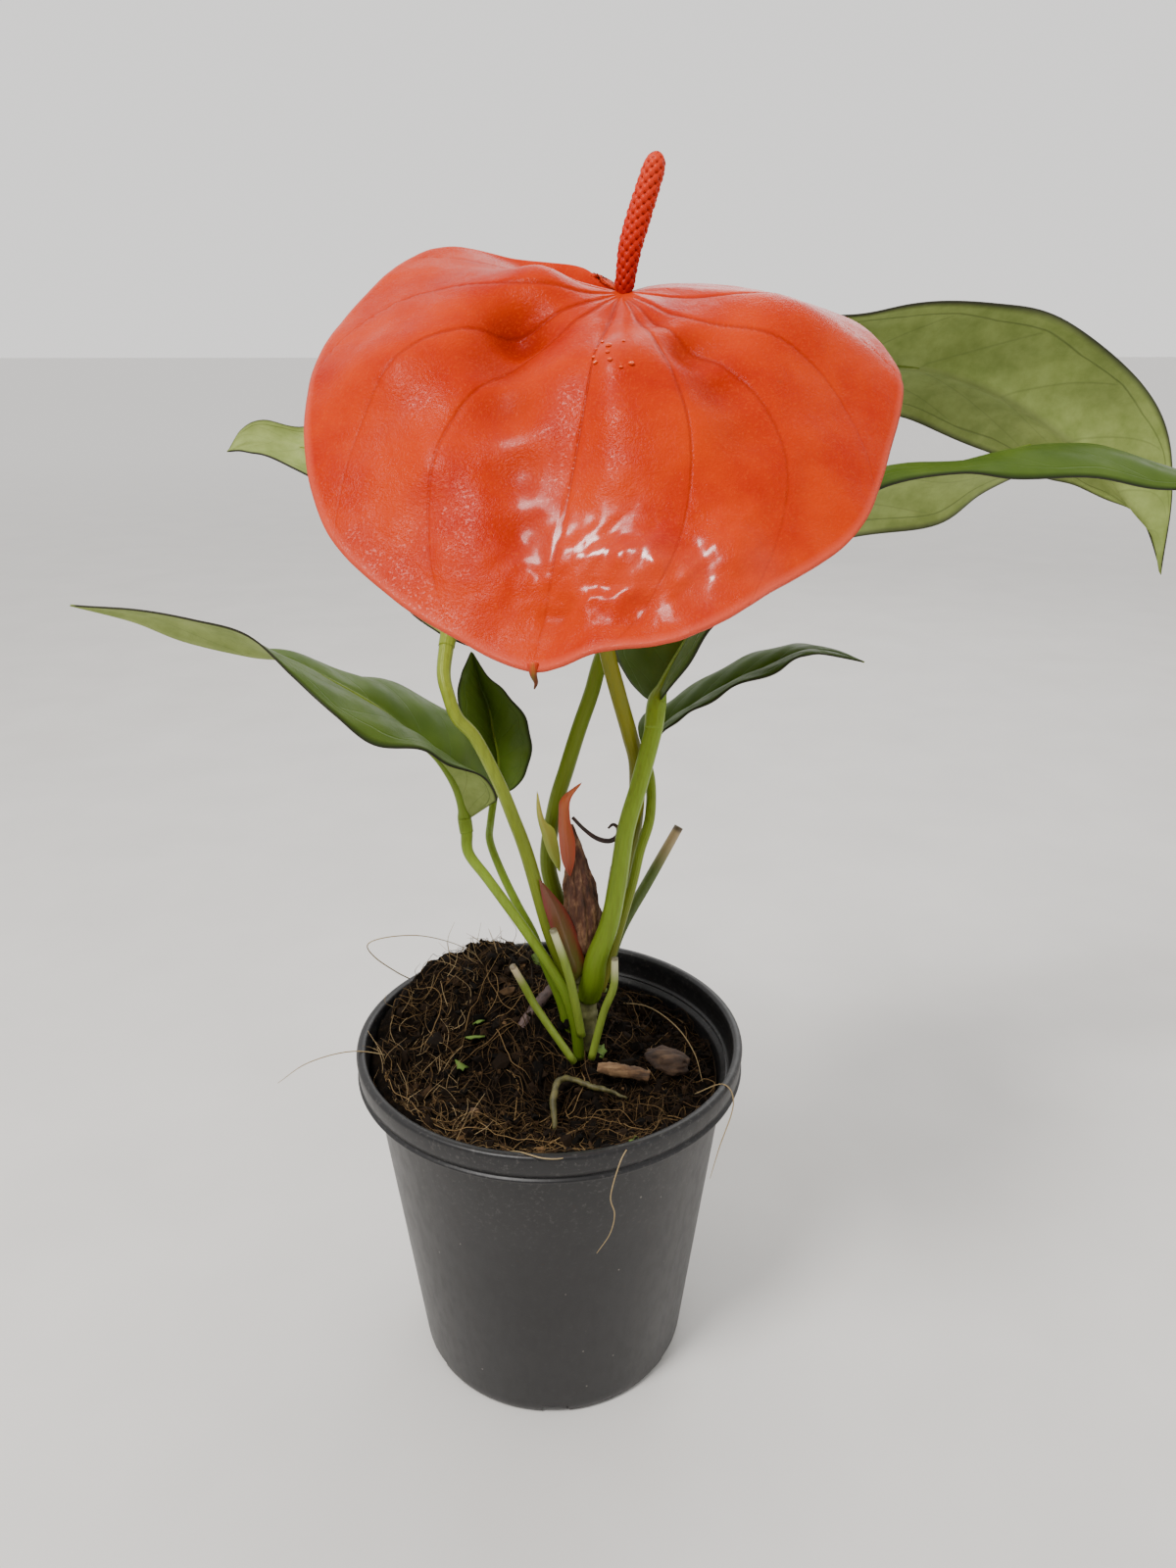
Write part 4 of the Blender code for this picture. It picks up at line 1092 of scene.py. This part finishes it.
def make_spathe():
    """The heart-shaped spathe: a fan of lines from its base, with sunken veins, dents with painted shade in
    them, and fine puckers.
    """
    steps, rings = 14, 100
    rim = smooth(SPATHE_RIM, steps)
    spoke = np.linspace(0, len(SPATHE_RIM) - 1, len(rim))[None, :]
    out = np.linspace(0, 1, rings + 1)[:, None] ** 0.85
    swell, flare = rim[:, 3][None, :], rim[:, 4][None, :]
    lift = swell * 4 * out * (1 - out) - flare * 9.5 * out**3 * (1 - out)
    grid = SPATHE_BASE + (rim[None, :, :3] - SPATHE_BASE) * out[:, :, None] + SPATHE_SWELL * lift[:, :, None]
    vein = spathe_veins(spoke, out, grid)
    normal = grid_normals(grid)
    normal *= np.sign((normal * SPATHE_SWELL).sum(axis=2))[:, :, None]
    push = -0.3 * vein
    # painted shade: how deeply each point lies in a dent, which darkens the colour there
    dent_shade = np.zeros(vein.shape)
    for at, reach, height, width in SPATHE_DENTS:
        bell = bell_round(grid, out, spoke, at, reach, width)
        push = push + height * bell
        dent_shade = np.maximum(dent_shade, bell * min(max(-height / 5, 0), 1))
    gloss = np.zeros(vein.shape)
    for at, reach, share, width in SPATHE_GLOSS:
        gloss = np.maximum(gloss, share * bell_round(grid, out, spoke, at, reach, width))
    low_share = np.exp(-(((out - 0.85) / 0.11) ** 2)) * np.exp(-(((spoke - 11.3) / 1.9) ** 2))
    for i in range(grid.shape[0]):
        for k in range(grid.shape[1]):
            at = grid[i, k]
            push[i, k] += fractal(at, 16.0, 2) * 0.55
            push[i, k] += fractal(at + 50, 3.4, 3) * (0.06 + 0.65 * low_share[i, k])
    grid = grid + normal * push[:, :, None]
    margin = np.clip((out - 0.975) / 0.02, 0, 1) * np.ones_like(spoke)
    u, v = spoke / spoke.max() * np.ones_like(out), out * np.ones_like(spoke)
    values = {"margin": margin.ravel(), "dent_shade": dent_shade.ravel(), "gloss": gloss.ravel()}
    front = spathe_look("spathe_front", (0.55, 0.034, 0.0), (0.42, 0.012, 0.0), (0.62, 0.062, 0.002))
    back = spathe_look("spathe_back", (0.54, 0.05, 0.008), (0.42, 0.028, 0.004), (0.60, 0.11, 0.03), 0.5)
    made = make_sheet("spathe_blade", grid, u, v, True, values, [front, back])
    thicken(made, 0.6).material_offset = 1
    settle(made, "spathe", "spathe")
    make_drops(grid, normal, out, spoke)
    route = [(-2, -81.3, 214.9), (-1.9, -82.2, 213.4), (-1.5, -82.8, 212.2), (-1.8, -83.1, 211.2)]
    look = stem_look("spathe_tip_skin", (0.62, 0.04, 0.01), (0.10, 0.02, 0.01))
    settle(tube("spathe_tip", route, [0.95, 0.6, 0.35, 0.12], look, 6, 12), "spathe")


def make_drops(grid, normal, out, spoke):
    """A few beads of clear nectar below the spadix."""
    look = Look("nectar", 0.05, Specular_IOR_Level=0.7)
    look.colour(look.ramp(look.noise(1), (0.3, (0.72, 0.05, 0.0)), (0.7, (0.80, 0.09, 0.01))))
    rng = np.random.default_rng(8)
    ball, faces = ico_template(3)
    parts = []
    for _ in range(11):
        row = np.abs(out[:, 0] - rng.normal(0.39, 0.03)).argmin()
        column = np.abs(spoke[0] - rng.normal(10.9, 0.35)).argmin()
        size = rng.uniform(0.25, 0.6)
        parts.append((ball * (size, size, size * 0.6) + grid[row, column] + normal[row, column] * 0.1, faces))
    points, faces, _ = merge(parts)
    settle(make_object("nectar_drops", points, faces, materials=[look.material]), "spathe")


def spathe_veins(spoke, out, grid):
    """How strongly each point of the fan lies on a vein."""
    across = np.linalg.norm(np.gradient(grid, axis=1), axis=2) / (spoke[0, 1] - spoke[0, 0])
    total = np.zeros(grid.shape[:2])
    for a, b, c in SPATHE_VEINS:
        place = TIP_SPOKE + a + b * out + c * out**2
        away = np.abs(spoke - place) * across
        width = 0.55 - 0.25 * out
        total = np.maximum(total, np.exp(-((away / width) ** 2)) * (1 - 0.55 * out))
    return total * np.clip(out / 0.08, 0, 1)


SPADIX = [(15.7, -22, 270.5), (16.2, -22, 274), (17, -21.5, 279), (18.5, -20.5, 284), (20, -20, 288.5),
          (21.5, -19.5, 293), (22.2, -19.4, 295.4)]
SPADIX_RADII = [1.4, 1.55, 1.85, 1.95, 1.9, 1.8, 1.6]


def spadix_look():
    """Red skin, with painted shade between the knobs."""
    look = Look("spadix_skin", 0.4, Specular_IOR_Level=0.12)
    along, _ = look.along()
    knob = look.value("knob")
    skin = look.ramp(along, (0.0, (0.34, 0.004, 0.0)), (0.4, (0.50, 0.014, 0.0)), (1.0, (0.60, 0.04, 0.010)))
    # painted shade: the skin turns dark red away from the knob tops, in the gaps between the knobs
    look.colour(look.mix(look.between(knob, 0.0, 0.7, 0.75, 0.0), skin, (0.18, 0.001, 0.0)))
    look.bump((look.noise(0.3, 2), 0.03))
    return look.material


def make_spadix():
    """The spike, covered by small knobs set in a spiral."""
    rings, sides, knobs = 190, 72, 190
    route = even(smooth(SPADIX, 12), rings)
    at = np.linspace(0, 1, rings)
    radii = np.interp(at, np.linspace(0, 1, len(SPADIX_RADII)), SPADIX_RADII)
    radii[-16:] *= np.sqrt(np.clip(1 - np.linspace(0, 1, 16) ** 2, 0.0004, 1))
    points, faces, uv = tube_mesh(route, radii, sides)
    length = np.linalg.norm(np.diff(route, axis=0), axis=1).sum()
    height = uv[:, 0] * length
    turn = uv[:, 1] * math.tau
    nearest = np.full(len(points), 9.0)
    for number in range(knobs):
        place = (number + 0.5) / knobs * length
        gap = np.angle(np.exp(1j * (turn - number * GOLDEN_ANGLE))) * 2.1
        nearest = np.minimum(nearest, np.hypot(gap, height - place))
    knob = np.clip(1 - (nearest / 0.82) ** 2, 0, 1) ** 0.6
    fade = np.clip((1 - uv[:, 0]) / 0.12, 0.15, 1) * np.clip(uv[:, 0] / 0.08, 0, 1)
    centres = np.repeat(route, sides, axis=0)
    outward = points - centres
    outward /= np.maximum(np.linalg.norm(outward, axis=1)[:, None], 1e-6)
    points = points + outward * (knob * 0.5 * fade)[:, None]
    made = make_object("spadix_spike", points, faces, uv, {"knob": knob}, [spadix_look()])
    settle(made, "spadix", "spadix")


# ---------------------------------------------------------------- sheaths, shoot and tendril


def make_sheath():
    """The brown papery sheath: a spindle with fluted and creased sides."""
    look = fibrous_look("papery", (0.022, 0.008, 0.005), (0.10, 0.038, 0.018), (0.36, 0.20, 0.10),
                        1.3, 0.25, 0.75, (1, 1, 0.25))
    route = smooth([(9.4, 3.0, 108), (9.2, 2.8, 113), (9.0, 2.6, 119), (8.6, 2.4, 126), (7.9, 2.4, 134),
                    (6.9, 2.6, 142), (5.8, 2.6, 151)], 16)
    at = np.linspace(0, 1, len(route))
    radii = np.interp(at, [0, 0.1, 0.3, 0.5, 0.7, 0.86, 1], [2.2, 3.6, 4.9, 4.7, 3.8, 2.2, 0.5])
    points, faces, uv = tube_mesh(route, radii, 72)
    centres = np.repeat(route, 72, axis=0)
    outward = points - centres
    for i, (along, around) in enumerate(uv):
        flute = 0.07 * math.sin(around * math.tau * 9 + 5 * along)
        flute += 0.05 * math.sin(around * math.tau * 17 - 9 * along)
        crease = 0.16 * fractal((points[i][0], points[i][1], points[i][2] * 0.35), 2.2, 4)
        points[i] = centres[i] + outward[i] * (1 + flute + crease)
    settle(make_object("papery_sheath_husk", points, faces, uv, materials=[look]), "sheath", "papery_sheath")


def leafy_look(name, edge, low, high, roughness=0.42):
    """A sheath or bract with one colour along its edges and another that changes from foot to tip."""
    look = Look(name, roughness, Subsurface_Weight=0.08, Subsurface_Scale=0.001)
    along, across = look.along()
    body = look.ramp(along, (0.0, low), (0.8, high))
    streaks = look.noise(2.0, 4, vector=look.stretched((2, 2, 0.25)))
    streaked = look.mix(look.between(streaks, 0.4, 0.75, 0, 0.4), body, edge)
    side = look.maths("ABSOLUTE", across)
    look.colour(look.mix(look.between(side, 0.35, 0.95, 0, 1), streaked, edge))
    look.bump((streaks, 0.1))
    return look.material


WRAPS = {
    # pointed, wrapping pieces: node they stand for, rows of edge, middle, edge
    "red_edged_sheath": [
        (6.5, -1.0, 109),
        [(4.6, -4.2, 113), (7.0, -3.8, 113), (9.4, -1.6, 113)],
        [(2.4, -5.0, 119), (5.4, -4.8, 119), (8.0, -2.0, 119)],
        [(0.6, -4.8, 126), (3.4, -4.9, 126), (6.0, -2.0, 126)],
        [(-1.2, -5.0, 133), (1.2, -5.2, 133), (3.2, -3.0, 132)],
        (-2.2, -5.0, 140)],
    "new_shoot": [
        (5.4, -1.6, 139),
        [(3.6, -1.0, 143), (5.0, -2.6, 143), (6.4, -1.4, 143)],
        [(2.9, -0.6, 149), (4.6, -2.8, 149), (6.6, -1.0, 148)],
        [(2.9, -0.2, 155), (4.2, -2.0, 155), (5.4, -0.8, 154)],
        [(3.6, 0.2, 159), (4.6, -1.2, 159.5), (5.6, -0.6, 159)],
        (8.4, -1.0, 163.5)],
    "green_bract": [
        (3.0, 3.0, 138),
        [(0.2, 3.6, 143), (1.6, 2.6, 142), (3.0, 3.4, 142)],
        [(-1.6, 4.0, 149), (0.0, 3.0, 148), (1.8, 3.8, 149)],
        [(-2.5, 4.0, 154), (-1.6, 3.4, 153), (-0.8, 3.8, 152)],
        (-2.4, 4.0, 159.5)],
}


def make_wraps():
    """The red-edged sheath, the new shoot and the green bract."""
    red = leafy_look("red_edged", (0.17, 0.022, 0.012), (0.10, 0.12, 0.015), (0.13, 0.045, 0.015))
    shoot = leafy_look("shoot_red", (0.40, 0.05, 0.012), (0.22, 0.03, 0.012), (0.48, 0.11, 0.02))
    bract = leafy_look("bract_green", (0.36, 0.42, 0.05), (0.24, 0.34, 0.02), (0.46, 0.42, 0.07))
    looks = {
        "red_edged_sheath": ("sheath", red),
        "new_shoot": ("young_growth", shoot),
        "green_bract": ("young_growth", bract),
    }
    for name, rows in WRAPS.items():
        slot, look = looks[name]
        grid, u, v = blade_grid(rows, 8)
        made = make_sheet(f"{name}_leaf", grid, u, v, materials=[look])
        thicken(made, 0.4, 0)
        settle(made, slot, name)


def make_tendril():
    """The dry curled tendril."""
    look = fibrous_look("tendril_skin", (0.012, 0.006, 0.004), (0.035, 0.016, 0.011), (0.09, 0.045, 0.03),
                        1.0, 0.1, 0.55)
    route = [(6.2, 2.4, 153), (9, 2, 150), (12, 1, 148), (15, 0.5, 147.4), (17, 0, 148.8), (17.2, 0, 151),
             (16, 0, 152), (14.8, 0, 151)]
    radii = [0.45, 0.5, 0.6, 0.65, 0.6, 0.5, 0.4, 0.25]
    settle(tube("curled_tendril", route, radii, look, 8, 12), "sheath", "dry_tendril")


# ---------------------------------------------------------------- stage


WORLD_RANGE = {"From Min": -0.9, "From Max": 0.5, "To Min": 0.4, "To Max": 1.25}  # strength by direction in Y
CAMERA_PLACE = (0, -0.2635, 0.2648)
CAMERA_TURN, CAMERA_TILT = math.radians(2.15), math.radians(21.17)


def make_floor():
    """A plain pale floor."""
    look = Look("pale_floor", 0.6)
    near = look.ramp(look.noise(60, 3), (0.3, (0.72, 0.70, 0.675)), (0.7, (0.77, 0.75, 0.725)))
    away = look.node("VectorMath", {0: look.place()}, operation="LENGTH").outputs["Value"]
    look.colour(look.mix(look.between(away, 0.5, 3.0), near, (0.97, 0.955, 0.94)))
    bpy.ops.mesh.primitive_plane_add(size=24)
    floor = bpy.context.object
    floor.name = "pale_floor"
    floor.data.materials.append(look.material)


def make_light(name, place, aim, size, energy, colour=(1, 1, 1)):
    """A round area lamp at a place in metres, turned towards its aim."""
    lamp = bpy.data.lights.new(name, "AREA")
    lamp.shape = "DISK"
    lamp.size = size
    lamp.energy = energy
    lamp.color = colour
    made = bpy.data.objects.new(name, lamp)
    made.location = place
    made.rotation_euler = (Vector(aim) - Vector(place)).to_track_quat("-Z", "Y").to_euler()
    bpy.context.scene.collection.objects.link(made)


def make_studio():
    """The floor, three lamps and a world that is darker from the front."""
    make_floor()
    make_light("key", (-0.35, -0.45, 1.0), (0, 0, 0.2), 0.26, 11, (1.0, 0.98, 0.95))
    make_light("fill", (0.8, -0.7, 0.45), (0, 0, 0.18), 0.7, 1.5, (0.95, 0.98, 1.0))
    make_light("back", (0.3, 0.8, 0.7), (0, 0, 0.2), 0.6, 2)
    world = bpy.data.worlds.new("studio")
    world.use_nodes = True
    tree = world.node_tree
    background = tree.nodes["Background"]
    background.inputs["Color"].default_value = (1.0, 0.985, 0.965, 1)
    place = tree.nodes.new("ShaderNodeTexCoord")
    parts = tree.nodes.new("ShaderNodeSeparateXYZ")
    depth = tree.nodes.new("ShaderNodeMapRange")
    for socket, value in WORLD_RANGE.items():
        depth.inputs[socket].default_value = value
    tree.links.new(place.outputs["Generated"], parts.inputs["Vector"])
    tree.links.new(parts.outputs["Y"], depth.inputs["Value"])
    tree.links.new(depth.outputs["Result"], background.inputs["Strength"])
    bpy.context.scene.world = world


def make_camera():
    """A phone held level with the flower, close in front, looking down at the pot."""
    lens = bpy.data.cameras.new("camera")
    lens.lens = 27.0
    lens.sensor_width = 36.0
    lens.clip_start = 0.01
    camera = bpy.data.objects.new("camera", lens)
    camera.location = CAMERA_PLACE
    turn, tilt = CAMERA_TURN, CAMERA_TILT
    view = Vector((math.sin(turn) * math.cos(tilt), math.cos(turn) * math.cos(tilt), -math.sin(tilt)))
    camera.rotation_euler = view.to_track_quat("-Z", "Y").to_euler()
    bpy.context.scene.collection.objects.link(camera)
    bpy.context.scene.camera = camera


make_studio()
make_camera()
make_pot()
make_medium()
make_crumbs()
make_fibres()
make_bristles()
make_long_fibres()
make_litter()
make_stems()
make_stubs()
make_crown()
make_leaves()
make_spathe()
make_spadix()
make_sheath()
make_wraps()
make_tendril()
